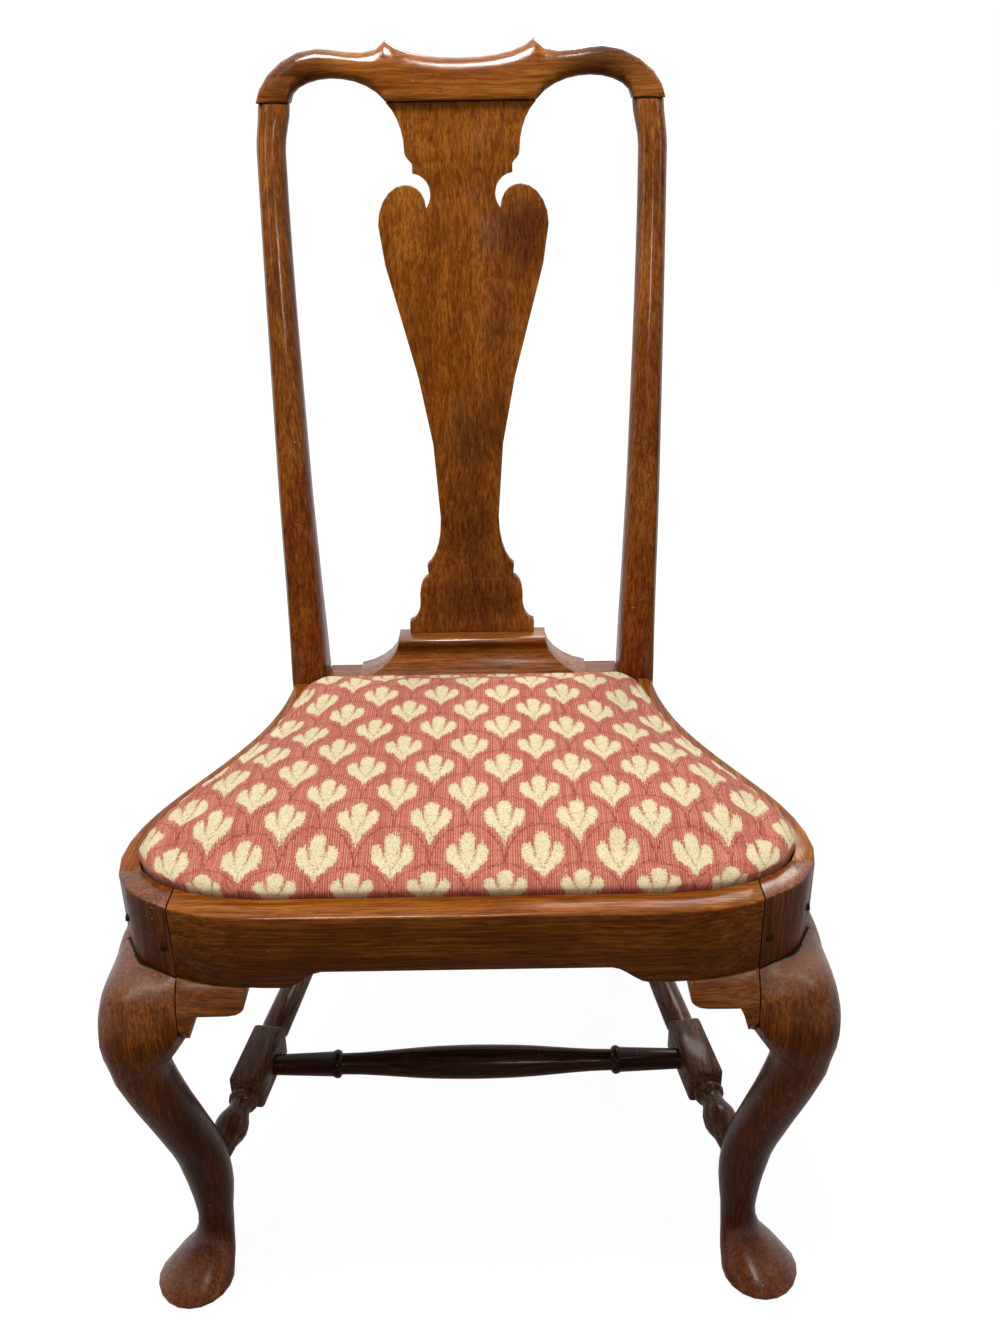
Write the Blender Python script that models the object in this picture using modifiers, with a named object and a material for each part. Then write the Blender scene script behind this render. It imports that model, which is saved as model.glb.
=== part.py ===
# Queen Anne side chair: a joined hardwood frame with a vase splat, cabriole front legs on
# pad feet, turned stretchers and a drop-in upholstered seat that lifts straight out.
# Metres, +Z up. X runs across the seat, Y from the front edge to the back, Z from the floor.

import math

import bmesh
import bpy
import numpy as np
from mathutils import Matrix, Vector
from mathutils.geometry import interpolate_bezier

# Fits and fineness
FIT = 0.0003  # gap between two pieces that touch
PIECES_PER_CURVE = 5  # straight pieces that stand for one curve of an outline
TURNED_SIDES = 14
CREASE = math.radians(38)

# Seat frame
SEAT_HEIGHT = 0.421  # floor to the top of the seat rails
SEAT_WIDTH = 0.550  # across the widest point
SEAT_DEPTH = 0.398  # front of the front rail to the front of the rear posts
CORNER_REACH = 0.135  # from the widest point in to where the front starts to turn
WIDEST_SETBACK = 0.090  # from the front back to the widest point
CORNER_SWING = 0.090  # how long the front corner leans to the front rail's line
CORNER_TURN = 0.050  # how long it leans to the side rail's line
SIDE_SWING = 0.090  # the same for the long side curve, at its front
SIDE_TURN = 0.150  # and at its rear
RAIL_HEIGHT = 0.0635
FRONT_RAIL_THICKNESS = 0.042
SIDE_RAIL_THICKNESS = 0.033
RAIL_SETBACK = 0.002  # side rails' faces, inside the outer faces of the posts
RIM_FRONT = 0.0245  # rail top left outside the drop-in seat, at the front
RIM_SIDE = 0.0145  # and at the sides
REBATE = 0.014  # depth of the ledge that the drop-in seat lies on
REAR_LEDGE = 0.014  # ledge of the rear rail, in front of the posts
ARRIS = 0.003  # rounding of the rails' top outer edge
SKIRT_RISE = 0.0145  # lift of the rails' flat-arched lower edge
SKIRT_START = 0.0845  # from a rail's end to the foot of that lift
SKIRT_RUN = 0.029  # length of the lift

# Front legs
LEG_BLOCK_WIDTH = 0.0535  # corner block, in from the widest point
LEG_BLOCK_DEPTH = 0.064  # corner block, back from the front
LEG_CORE = 0.025  # from the block's two inner faces to the leg's reference line
FOOT_RADIUS = 0.0335
FOOT_RIM = 0.0095  # height of the pad foot's widest line
SOLE_RADIUS = 0.028
SOLE_HEIGHT = 0.0035
FOOT_OUTWARD = 0.0085
KNEE_BLEND = 0.026  # height over which the block rolls out into the knee
KNEE_SQUARE = 6.0  # squareness of the knee towards its two brackets
KNEE_SPREAD = 1.6  # how much wider it is on those sides
KNEE_RUN = 0.65  # share of the brackets' height over which it gets there
LEG_SIDES = 20
LEG_STEP = 0.0145  # height between two rings of the leg
# Height above the floor, outward of the reference line, radius, squareness (2 is round)
LEG_LOWER = (
    (0.024, -0.0020, 0.0270, 2.0),
    (0.037, -0.0125, 0.0188, 2.0),
    (0.050, -0.0170, 0.0158, 2.0),
    (0.066, -0.0188, 0.0155, 2.0),
    (0.092, -0.0195, 0.0182, 2.1),
)
# The same, with the height taken down from the rails' lower edge
LEG_UPPER = (
    (0.2235, -0.0155, 0.0203, 2.3),
    (0.1755, -0.0010, 0.0206, 2.5),
    (0.1265, 0.0155, 0.0214, 2.6),
    (0.0905, 0.0240, 0.0226, 2.6),
    (0.0605, 0.0140, 0.0355, 2.6),
    (0.0435, 0.0095, 0.0375, 2.6),
    (0.0000, 0.0000, 0.0360, 2.6),
)

# Knee brackets
BRACKET_LENGTH = 0.0535
BRACKET_DROP = 0.060  # at the leg
BRACKET_WAIST = 0.0225  # depth where the hollow meets the flat run
BRACKET_END = 0.0215  # depth before the rounded end
BRACKET_THICKNESS = 0.030
BRACKET_TIP = 0.013
BRACKET_FADE = 0.60  # share of its swell that is gone at the far end

# Rear posts and back
BACK_WIDTH = 0.3744  # across the outside of the posts at the seat
BACK_HEIGHT = 0.543  # seat rails to the joint of posts and crest
BACK_RAKE = 0.1025  # how far the back leans over that height
LEG_RAKE = 0.085  # how far the rear feet stand behind the seat block
POST_WIDTH = 0.0352
POST_DEPTH = 0.045
REAR_FOOT_WIDTH = 0.030
REAR_FOOT_DEPTH = 0.034
SHOULDER_RISE = 0.085  # from the seat up to the end of the post's quick taper
SHOULDER_SWING = 0.0023  # how far the post's outer face has swung out there
SHOULDER_WIDTH = 0.0345
SHOULDER_DEPTH = 0.040
MIDDLE_RISE = 0.210  # from the seat up to the middle of the post's bow
MIDDLE_SWING = 0.0047
MIDDLE_WIDTH = 0.0314
MIDDLE_DEPTH = 0.036
WAIST_DROP = 0.040  # from the crest down to the narrowest part of the post
WAIST_SWING = 0.0066
WAIST_WIDTH = 0.0266
POST_TOP_SWING = 0.0028
POST_TOP_WIDTH = 0.029
POST_TOP_DEPTH = 0.028
POST_ROUNDING = 0.0105
BLOCK_ROUNDING = 0.003
POST_BLOCK_BELOW = 0.012  # square block's reach under the rails
POST_BLOCK_ABOVE = 0.004  # and over the seat
REAR_FOOT_ROUNDING = 0.004
POST_STEP = 0.036
POST_SWEEP = 1.6  # how late the rear leg kicks back, as a power

# Crest rail, as heights above its joint with the posts
EAR_RISE = 0.0525
EAR_REACH = 0.069  # from the middle out to each ear
YOKE_RISE = 0.0368
SHOULDER_TOP = 0.046
SHOULDER_REACH = 0.133
ARCH_RISE = 0.0204  # hollow under the crest, between splat and post
ARCH_REACH = 0.121
SPLAT_JOINT_REACH = 0.0705
CREST_DEPTH = 0.0285
CREST_MIDDLE_DEPTH = 0.024
CREST_EDGE = 0.002  # least height of the crest, at its ends
CREST_ROUND = 2.6  # squareness of its upper half, where 2 is round
CREST_FLAT = 9.0  # and of its lower half over the joints
CREST_SIDES = 14

# Splat and shoe
SPLAT_THICKNESS = 0.011
SPLAT_WAIST = 0.0295  # half width at its narrowest
SPLAT_SWELL = 0.0817  # half width at its widest
SPLAT_FOOT = 0.0643  # half width at the shoe
WAIST_RISE = 0.117  # shoe to the narrowest part
SWELL_DROP = 0.1065  # crest down to the widest part
SHOE_HEIGHT = 0.0435
SHOE_DEPTH = 0.0435
SHOE_TOP_DEPTH = 0.028
SHOE_TOP_REACH = 0.0755
SHOE_FLARE_REACH = 0.118
SHOE_TOE = 0.003  # height of the upright at the foot of each flared end

# Joinery
TENON_THICKNESS = 0.010
TENON_ROOT = 0.008  # how far a tenon is rooted in its own piece
TENON_SHOULDER = 0.005  # wood above and below a tenon
FRONT_TENON = 0.028
FRONT_TENON_INSET = 0.026  # middle of the front rail's tenon, behind its face
SIDE_TENON = 0.014
SIDE_TENON_INSET = 0.019  # middle of the side rail's tenon, inside its face
REAR_TENON = 0.026
CREST_TENON = 0.013
CREST_TENON_WIDTH = 0.014
TONGUE_THICKNESS = 0.007
TONGUE_REACH = 0.054
TONGUE_LENGTH = 0.010
PIN_RADIUS = 0.003
PIN_LENGTH = 0.030
PIN_SETBACK = 0.007  # from a joint line to its pin
PIN_PROUD = 0.0003

# Stretchers
STRETCHER_HEIGHT = 0.1260  # axis above the floor at the front legs
STRETCHER_CLIMB = 0.003  # rise to the rear posts
STRETCHER_INSET = 0.0075  # axis inside the middle of leg and post
MEDIAL_SETBACK = 0.165
BLOCK_LENGTH = 0.075
BLOCK_WIDTH = 0.032
BLOCK_HEIGHT = 0.034
BLOCK_CHAMFER = 0.004
SOCKET_DEPTH = 0.012
REAR_STRETCHER_HEIGHT = 0.180
REAR_SWELL = 0.0125
MEDIAL_SWELL = 0.0158
MEDIAL_NECK = 0.0098
MEDIAL_RING = 0.0134
MEDIAL_END = 0.0095
RING_REACH = 0.133  # from the middle to the ring
RING_HALF = 0.0045
STRETCHER_TIP = 0.0085  # radius inside leg and post
# Turning of a side stretcher: distance in front of its square block, and radius
FRONT_TURNING = (
    (0.056, 0.0110),
    (0.047, 0.0140),
    (0.040, 0.0152),
    (0.033, 0.0145),
    (0.024, 0.0112),
    (0.018, 0.0098),
    (0.013, 0.0102),
    (0.011, 0.0130),
    (0.008, 0.0138),
    (0.005, 0.0130),
    (0.003, 0.0118),
)
# The same behind the block, and then in front of the tip in the post
REAR_TURNING = ((0.004, 0.0120), (0.012, 0.0136), (0.060, 0.0132))
REAR_TAPER = ((0.090, 0.0118), (0.030, 0.0095))
BLOCK_CORE = 0.0142  # radius of the turning inside the block
REAR_STRETCHER_TIP = 0.0080
REAR_STRETCHER_NECK = 0.0090  # radius at the post's face
REAR_STRETCHER_ROOT = 0.020  # from the tip to that face

# Drop-in seat
SEAT_GAP = 0.0012  # all round, inside the rebate
REAR_GAP = 0.0030  # in front of the posts
SLIP_CORNER = 0.014  # rounding of the seat's rear corners
SLIP_WIDTH = 0.046
SLIP_THICKNESS = 0.018
STRAIGHT = 0.00000001  # twice the area of a turn that counts as none, in square metres
SLIP_TENON = 0.014
SLIP_TENON_THICKNESS = 0.007
SLIP_TENON_WIDTH = 0.020
SLIP_TENON_INSET = 0.028  # from the frame's outer edge to the middle of its tenon
COVER_THICKNESS = 0.0012
COVER_HEM = 0.020  # cover turned under the frame
COVER_POINTS = 26  # along each half of the outline
POCKET_POINTS = 66  # the same for the pocket cut in the legs
EDGE_ROLL = 0.013  # height of the rolled edge
EDGE_SHARE = 0.90  # where the roll ends, as a share of the way out from the middle
CROWN = 0.013  # further rise to the middle
STRAP_WIDTH = 0.050
STRAP_THICKNESS = 0.0016
STRAPS_ALONG = 3
STRAPS_ACROSS = 3
STRAP_PITCH = 0.080
STRAP_LAP = 0.026  # strap end lying on the frame
HESSIAN_THICKNESS = 0.001
HESSIAN_MARGIN = 0.010
FINISHES = {
    "walnut": ((0.180, 0.062, 0.024), 0.32),
    "dark walnut": ((0.085, 0.032, 0.016), 0.38),
    "splat walnut": ((0.250, 0.105, 0.042), 0.30),
    "pin oak": ((0.060, 0.026, 0.014), 0.45),
    "frame pine": ((0.420, 0.290, 0.160), 0.70),
    "webbing": ((0.380, 0.300, 0.200), 0.90),
    "hessian": ((0.300, 0.220, 0.130), 0.95),
    "wadding": ((0.780, 0.740, 0.660), 0.95),
    "rose cloth": ((0.480, 0.120, 0.120), 0.85),
}

# Places that follow from the sizes above
RAIL_BOTTOM = SEAT_HEIGHT - RAIL_HEIGHT
LEDGE = SEAT_HEIGHT - REBATE
JOINT_X = SEAT_WIDTH / 2 - LEG_BLOCK_WIDTH
JOINT_Y = LEG_BLOCK_DEPTH
CORE = np.array((JOINT_X + LEG_CORE, JOINT_Y - LEG_CORE))
OUTWARD = np.array((1.0, -1.0)) / math.sqrt(2)
POST_INNER = BACK_WIDTH / 2 - POST_WIDTH
RAIL_REAR = BACK_WIDTH / 2 - RAIL_SETBACK
FRONT_FLAT = SEAT_WIDTH - 2 * CORNER_REACH
POST_MIDDLE = SEAT_DEPTH + POST_DEPTH / 2
CREST_JOINT = SEAT_HEIGHT + BACK_HEIGHT
BACK_SLOPE = BACK_RAKE / BACK_HEIGHT
SHOE_TOP = SEAT_HEIGHT + FIT + SHOE_HEIGHT
TENON_LOW = RAIL_BOTTOM + TENON_SHOULDER
TENON_HIGH = LEDGE - TENON_SHOULDER
SIDES = ((-1, "left"), (1, "right"))

for old in list(bpy.data.objects):
    bpy.data.objects.remove(old)


def new_collection(name):
    made = bpy.data.collections.new(name)
    bpy.context.scene.collection.children.link(made)
    return made


PARTS = new_collection("queen anne side chair")
CUTTERS = new_collection("cutters")


# Making meshes


def add(name, work):
    bmesh.ops.recalc_face_normals(work, faces=work.faces)
    mesh = bpy.data.meshes.new(name)
    work.to_mesh(mesh)
    work.free()
    made = bpy.data.objects.new(name, mesh)
    PARTS.objects.link(made)
    return made


def made_mesh(drawn, name):
    bpy.context.view_layer.update()
    graph = bpy.context.evaluated_depsgraph_get()
    mesh = bpy.data.meshes.new_from_object(drawn.evaluated_get(graph))
    work = bmesh.new()
    work.from_mesh(mesh)
    bmesh.ops.remove_doubles(work, verts=work.verts, dist=1e-6)
    place = drawn.matrix_world.copy()
    bpy.data.objects.remove(drawn)
    bpy.data.meshes.remove(mesh)
    made = add(name, work)
    made.matrix_world = place
    return made


def block(name, corner, opposite, grow=0.0):
    low = Vector(corner)
    high = Vector(opposite)
    work = bmesh.new()
    bmesh.ops.create_cube(work, size=1.0)
    size = [abs(a - b) + 2 * grow for a, b in zip(low, high)]
    bmesh.ops.scale(work, vec=size, verts=work.verts)
    bmesh.ops.translate(work, vec=(low + high) / 2, verts=work.verts)
    return add(name, work)


def aim(start, end):
    along = Vector(end) - Vector(start)
    turn = along.to_track_quat("Z", "Y").to_matrix().to_4x4()
    return Matrix.Translation(start) @ turn


def peg(name, start, end, radius):
    length = (Vector(end) - Vector(start)).length
    work = bmesh.new()
    bmesh.ops.create_cone(
        work, cap_ends=True, segments=TURNED_SIDES, radius1=radius, radius2=radius, depth=length,
        matrix=aim(start, end) @ Matrix.Translation((0, 0, length / 2)),
    )
    return add(name, work)


def turned(name, profile, start, end, grow=0.0):
    length = profile[-1][0]
    outline = [(0.0, length + grow)]
    outline += [(radius + grow, along) for along, radius in reversed(profile)]
    outline[1] = (outline[1][0], length + grow)
    outline[-1] = (outline[-1][0], -grow)
    outline.append((0.0, -grow))
    work = bmesh.new()
    points = [work.verts.new((radius, 0, along)) for radius, along in outline]
    for upper, lower in zip(points, points[1:]):
        work.edges.new((upper, lower))
    drawn = add(name + " profile", work)
    screw = drawn.modifiers.new("turn", "SCREW")
    screw.steps = TURNED_SIDES
    screw.render_steps = TURNED_SIDES
    screw.use_merge_vertices = True
    screw.merge_threshold = 1e-5
    made = made_mesh(drawn, name)
    made.data.transform(aim(start, end))
    return made


# Which way a flat outline is thickened: a plan is seen from above, an elevation from the
# front and a profile from the side.
FACING = {
    "plan": Matrix.Identity(4),
    "elevation": Matrix(((1, 0, 0, 0), (0, 0, -1, 0), (0, 1, 0, 0), (0, 0, 0, 1))),
    "profile": Matrix(((0, 0, 1, 0), (1, 0, 0, 0), (0, 1, 0, 0), (0, 0, 0, 1))),
}


def plate(name, outline, low, high, facing):
    curve = bpy.data.curves.new(name, "CURVE")
    curve.dimensions = "2D"
    curve.fill_mode = "BOTH"
    curve.extrude = (high - low) / 2
    spline = curve.splines.new("POLY")
    spline.points.add(len(outline) - 1)
    for point, (across, up) in zip(spline.points, outline):
        point.co = (across, up, 0, 1)
    spline.use_cyclic_u = True
    drawn = bpy.data.objects.new(name + " outline", curve)
    PARTS.objects.link(drawn)
    made = made_mesh(drawn, name)
    middle = (low + high) / 2
    if facing == "elevation":
        middle = -middle
    made.data.transform(FACING[facing] @ Matrix.Translation((0, 0, middle)))
    return made


def loft(name, rings):
    work = bmesh.new()
    rows = [[work.verts.new(point) for point in ring] for ring in rings]
    for near, far in zip(rows, rows[1:]):
        for i, corner in enumerate(near):
            j = (i + 1) % len(near)
            work.faces.new((corner, near[j], far[j], far[i]))
    work.faces.new(rows[0])
    work.faces.new(rows[-1])
    bmesh.ops.remove_doubles(work, verts=work.verts, dist=1e-6)
    return add(name, work)


def combine(target, tool, operation):
    step = target.modifiers.new(operation.lower(), "BOOLEAN")
    step.operation = operation
    step.object = tool
    if tool.name not in CUTTERS.objects:
        PARTS.objects.unlink(tool)
        CUTTERS.objects.link(tool)
    tool.hide_render = True
    tool.display_type = "WIRE"


def tenon(piece, receiver, corner, opposite):
    name = piece.name + " in " + receiver.name
    combine(piece, block(name + " tenon", corner, opposite), "UNION")
    combine(receiver, block(name + " mortise", corner, opposite, FIT), "DIFFERENCE")


# Curves


def chain(start, *curves):
    points = [Vector(start)]
    for first, second, end in curves:
        handles = (points[-1], Vector(first), Vector(second), Vector(end))
        points += interpolate_bezier(*handles, PIECES_PER_CURVE + 1)[1:]
    return [tuple(point) for point in points]


def smooth_through(stations, at):
    table = np.array(stations)
    keys = table[:, 0]
    values = table[:, 1:]
    rise = np.diff(values, axis=0) / np.diff(keys)[:, None]
    both = rise[:-1] * rise[1:]
    slopes = np.zeros_like(values)
    np.divide(2 * both, rise[:-1] + rise[1:], out=slopes[1:-1], where=both > 0)
    i = int(np.clip(np.searchsorted(keys, at) - 1, 0, len(keys) - 2))
    run = keys[i + 1] - keys[i]
    t = (at - keys[i]) / run
    ends = values[i] * (1 + 2 * t) * (1 - t) ** 2 + values[i + 1] * t * t * (3 - 2 * t)
    return ends + run * t * (1 - t) * (slopes[i] * (1 - t) - slopes[i + 1] * t)


def ease(t):
    t = min(max(t, 0.0), 1.0)
    return t * t * (3 - 2 * t)


def mirrored(points):
    return list(points) + [(-x, y) for x, y in reversed(points) if abs(x) > 1e-9]


def seat_edge(inset, rim=0):
    # Right half of the rails' outer edge in plan, from the front to the posts, moved inwards.
    # With a rim of 1 it is the edge of the rebate that holds the drop-in seat.
    front = Vector((FRONT_FLAT / 2, 0))
    wide = Vector((SEAT_WIDTH / 2, WIDEST_SETBACK))
    rear = Vector((RAIL_REAR, SEAT_DEPTH))
    across = Vector((1, 0))
    back = Vector((0, 1))
    corner = interpolate_bezier(front, front + across * CORNER_SWING, wide - back * CORNER_TURN, wide, 60)
    side = interpolate_bezier(wide, wide + back * SIDE_SWING, rear - back * SIDE_TURN, rear, 60)
    points = np.array([(0, 0), *corner, *side[1:]])
    along = np.gradient(points, axis=0)
    along[0] = (1, 0)
    along[-1] = (0, 1)
    along /= np.linalg.norm(along, axis=1)[:, None]
    inward = np.column_stack((-along[:, 1], along[:, 0]))
    return points + inward * inset + inward * rim * np.array((RIM_SIDE, RIM_FRONT))


def edge_y(inset, x, rim=0):
    edge = seat_edge(inset, rim)
    front = edge[: int(edge[:, 0].argmax()) + 1]
    return float(np.interp(abs(x), front[:, 0], front[:, 1]))


def edge_x(inset, y, rim=0):
    edge = seat_edge(inset, rim)[1:]
    return float(np.interp(y, edge[:, 1], edge[:, 0]))


# Seat rails


def rail_section(lower_edge, thickness):
    # Distance in from the outer face, whether it is taken from the rebate's edge, and height.
    top = SEAT_HEIGHT
    return (
        (0, 0, lower_edge),
        (0, 0, top - ARRIS),
        (ARRIS * 0.3, 0, top - ARRIS * 0.3),
        (ARRIS, 0, top),
        (0, 1, top),
        (0, 1, LEDGE),
        (thickness, 0, LEDGE),
        (thickness, 0, lower_edge),
    )


def lower_edge(from_end):
    return RAIL_BOTTOM + SKIRT_RISE * ease((from_end - SKIRT_START) / SKIRT_RUN)


def front_seat_rail():
    end = JOINT_X - FIT
    lift = np.linspace(SKIRT_START, SKIRT_START + SKIRT_RUN, 6)
    corner = np.linspace(FRONT_FLAT / 2, end, 8)
    half = sorted({0.0, *corner, *(JOINT_X - lift)})
    stations = [-x for x in reversed(half[1:])] + half
    rings = []
    for x in stations:
        section = rail_section(lower_edge(JOINT_X - abs(x)), FRONT_RAIL_THICKNESS)
        rings.append([(x, edge_y(inset, x, rim), z) for inset, rim, z in section])
    return loft("front_seat_rail", rings)


def side_rail(side, word):
    start = JOINT_Y + FIT
    end = SEAT_DEPTH - FIT
    lift = np.linspace(SKIRT_START, SKIRT_START + SKIRT_RUN, 5)
    stations = sorted({*np.linspace(start, end, 17), *(start + lift), *(end - lift)})
    rings = []
    for y in stations:
        section = rail_section(lower_edge(min(y - start, end - y)), SIDE_RAIL_THICKNESS)
        rings.append([(side * edge_x(inset, y, rim), y, z) for inset, rim, z in section])
    return loft("side_rail_" + word, rings)


def rear_seat_rail():
    front = SEAT_DEPTH - REAR_LEDGE
    back = SEAT_DEPTH + POST_DEPTH
    outline = (
        (front, RAIL_BOTTOM),
        (back, RAIL_BOTTOM),
        (back, SEAT_HEIGHT),
        (SEAT_DEPTH, SEAT_HEIGHT),
        (SEAT_DEPTH, LEDGE),
        (front, LEDGE),
    )
    reach = POST_INNER - FIT
    return plate("rear_seat_rail", outline, -reach, reach, "profile")


# Front legs and knee brackets


LEG_STATIONS = (
    (FOOT_RIM, FOOT_OUTWARD, FOOT_RADIUS, 2.0),
    *LEG_LOWER,
    *((RAIL_BOTTOM - down, outward, radius, square) for down, outward, radius, square in LEG_UPPER),
)
ANGLES = np.arange(LEG_SIDES) * math.tau / LEG_SIDES
SIDE_CORNER = LEG_SIDES // 10  # the ring's points that lie where the block meets the rails
FRONT_CORNER = LEG_SIDES * 13 // 20


def leg_centre(z):
    return CORE + smooth_through(LEG_STATIONS, z)[0] * OUTWARD


def round_ring(centre, radius, square):
    across = np.column_stack((np.cos(ANGLES), np.sin(ANGLES)))
    reach = (np.abs(across) ** square).sum(axis=1) ** (-1 / square)
    return centre + radius * reach[:, None] * across


def block_ring(inset):
    edge = seat_edge(inset) - CORE
    bearing = np.unwrap(np.arctan2(edge[:, 1], edge[:, 0]))
    reach = np.hypot(edge[:, 0], edge[:, 1])
    ring = []
    for angle in ANGLES:
        turn = angle if angle < math.pi else angle - math.tau
        limits = [float(np.interp(turn, bearing, reach))]
        if math.cos(angle) < -1e-9:
            limits.append(-LEG_CORE / math.cos(angle))
        if math.sin(angle) > 1e-9:
            limits.append(LEG_CORE / math.sin(angle))
        ring.append(CORE + min(limits) * np.array((math.cos(angle), math.sin(angle))))
    ring[SIDE_CORNER] = np.array((edge_x(inset, JOINT_Y), JOINT_Y))
    ring[FRONT_CORNER] = np.array((JOINT_X, edge_y(inset, JOINT_X)))
    return np.array(ring)


def squared_knee(ring, centre, radius, share):
    # The two quarters that meet the brackets become square, so that the brackets' faces carry on from them.
    wide = round_ring(centre, radius, KNEE_SQUARE)
    from_centre = wide - centre
    front = (from_centre[:, 0] < 0) & (from_centre[:, 1] < 0)
    beside = (from_centre[:, 0] > 0) & (from_centre[:, 1] > 0)
    wide[front, 0] = centre[0] + KNEE_SPREAD * from_centre[front, 0]
    wide[beside, 1] = centre[1] + KNEE_SPREAD * from_centre[beside, 1]
    turned_out = (front | beside)[:, None]
    return np.where(turned_out, ring + share * (wide - ring), ring)


def leg_ring(z):
    outward, radius, square = smooth_through(LEG_STATIONS, z)
    centre = CORE + outward * OUTWARD
    ring = round_ring(centre, radius, square)
    if z >= RAIL_BOTTOM - BRACKET_DROP:
        climb = (z - RAIL_BOTTOM + BRACKET_DROP) / (KNEE_RUN * BRACKET_DROP)
        ring = squared_knee(ring, centre, radius, min(climb, 1.0))
        ring[:, 0] = np.maximum(ring[:, 0], JOINT_X)
        ring[:, 1] = np.minimum(ring[:, 1], JOINT_Y)
    rolled = min((RAIL_BOTTOM - z) / KNEE_BLEND, 1.0)
    share = math.sqrt(1 - (1 - rolled) ** 2)
    return block_ring(0) * (1 - share) + ring * share


def front_leg(side, word):
    foot = CORE + FOOT_OUTWARD * OUTWARD
    rings = [
        (0.0, round_ring(foot, SOLE_RADIUS, 2.0)),
        (SOLE_HEIGHT * 0.8, round_ring(foot, SOLE_RADIUS, 2.0)),
        (SOLE_HEIGHT, round_ring(foot, FOOT_RADIUS * 0.93, 2.0)),
        (SOLE_HEIGHT * 1.6, round_ring(foot, FOOT_RADIUS * 0.985, 2.0)),
    ]
    knee = RAIL_BOTTOM - KNEE_BLEND
    bracket = RAIL_BOTTOM - BRACKET_DROP
    heights = [*np.arange(FOOT_RIM, bracket - LEG_STEP / 3, LEG_STEP), bracket]
    heights += [*np.linspace(bracket, knee, 5)[1:-1], *np.linspace(knee, RAIL_BOTTOM, 7)]
    rings += [(z, leg_ring(z)) for z in heights]
    rings += [
        (SEAT_HEIGHT - ARRIS, block_ring(0)),
        (SEAT_HEIGHT - ARRIS * 0.3, block_ring(ARRIS * 0.3)),
        (SEAT_HEIGHT, block_ring(ARRIS)),
    ]
    leg = loft("front_leg_" + word, [[(side * x, y, z) for x, y in ring] for z, ring in rings])
    pocket = slip_outline(0, POCKET_POINTS)
    combine(leg, plate(leg.name + " rebate", pocket, LEDGE, SEAT_HEIGHT + REBATE, "plan"), "DIFFERENCE")
    return leg


def reach_at(ring, axis, plane):
    # How far out a leg's ring reaches where it crosses a joint plane.
    found = []
    for near, far in zip(ring, np.roll(ring, -1, axis=0)):
        if (near[axis] - plane) * (far[axis] - plane) < 0:
            t = (plane - near[axis]) / (far[axis] - near[axis])
            found.append(near[1 - axis] + t * (far[1 - axis] - near[1 - axis]))
    return found


def bracket_drop(share):
    # Depth of a bracket, by the share of its length out from the leg.
    curve = chain(
        (0.0, BRACKET_DROP),
        ((0.14, BRACKET_DROP), (0.15, BRACKET_WAIST * 1.3), (0.28, BRACKET_WAIST * 1.04)),
        ((0.46, BRACKET_WAIST * 0.96), (0.64, BRACKET_END * 1.06), (0.79, BRACKET_END)),
        ((0.92, BRACKET_END * 0.97), (1.0, BRACKET_END * 0.8), (1.0, BRACKET_TIP)),
    )
    table = np.array(curve)
    return float(np.interp(share, table[:, 0], table[:, 1]))


def knee_bracket(side, word, place):
    # Its face carries on from the knee's and comes nearer to the rail's face at the other end.
    top = RAIL_BOTTOM - FIT
    rings = []
    for share in (0, 0.07, 0.11, 0.15, 0.20, 0.28, 0.50, 0.75, 0.86, 0.93, 0.98, 1):
        along = share * BRACKET_LENGTH
        fade = 1 - BRACKET_FADE * share
        drop = bracket_drop(share)
        ring = []
        for z in np.linspace(top, top - drop, 9):
            ring_there = leg_ring(z)
            if place == "front":
                x = JOINT_X - FIT - along
                swell = edge_y(0, JOINT_X) - min(reach_at(ring_there, 0, JOINT_X + FIT))
                ring.append((side * x, edge_y(0, x) - fade * max(swell, 0), z))
            else:
                y = JOINT_Y + FIT + along
                swell = max(reach_at(ring_there, 1, JOINT_Y - FIT)) - edge_x(0, JOINT_Y)
                ring.append((side * (edge_x(0, y) + fade * max(swell, 0)), y, z))
        for z in (top - drop, top):
            if place == "front":
                ring.append((side * x, edge_y(0, x) + BRACKET_THICKNESS, z))
            else:
                ring.append((side * (edge_x(0, y) - BRACKET_THICKNESS), y, z))
        rings.append(ring)
    return loft(f"knee_bracket_{place}_{word}", rings)


# Rear posts


def post_middle(z):
    if z >= SEAT_HEIGHT:
        return POST_MIDDLE + BACK_SLOPE * (z - SEAT_HEIGHT)
    return POST_MIDDLE + LEG_RAKE * max((RAIL_BOTTOM - z) / RAIL_BOTTOM, 0) ** POST_SWEEP


# Height, swing of the outer face, width, depth, corner rounding
POST_STATIONS = (
    (0.0, 0.0, REAR_FOOT_WIDTH, REAR_FOOT_DEPTH, REAR_FOOT_ROUNDING),
    (RAIL_BOTTOM - POST_BLOCK_BELOW, 0.0, POST_WIDTH, POST_DEPTH, BLOCK_ROUNDING),
    (SEAT_HEIGHT + POST_BLOCK_ABOVE, 0.0, POST_WIDTH, POST_DEPTH, BLOCK_ROUNDING),
    (SEAT_HEIGHT + SHOULDER_RISE, SHOULDER_SWING, SHOULDER_WIDTH, SHOULDER_DEPTH, POST_ROUNDING),
    (SEAT_HEIGHT + MIDDLE_RISE, MIDDLE_SWING, MIDDLE_WIDTH, MIDDLE_DEPTH, POST_ROUNDING),
    (CREST_JOINT - WAIST_DROP, WAIST_SWING, WAIST_WIDTH, POST_TOP_DEPTH, POST_ROUNDING),
    (CREST_JOINT, POST_TOP_SWING, POST_TOP_WIDTH, POST_TOP_DEPTH, POST_ROUNDING),
)


def post_centre(z):
    swing, width, *_ = smooth_through(POST_STATIONS, z)
    return BACK_WIDTH / 2 + swing - width / 2


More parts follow.
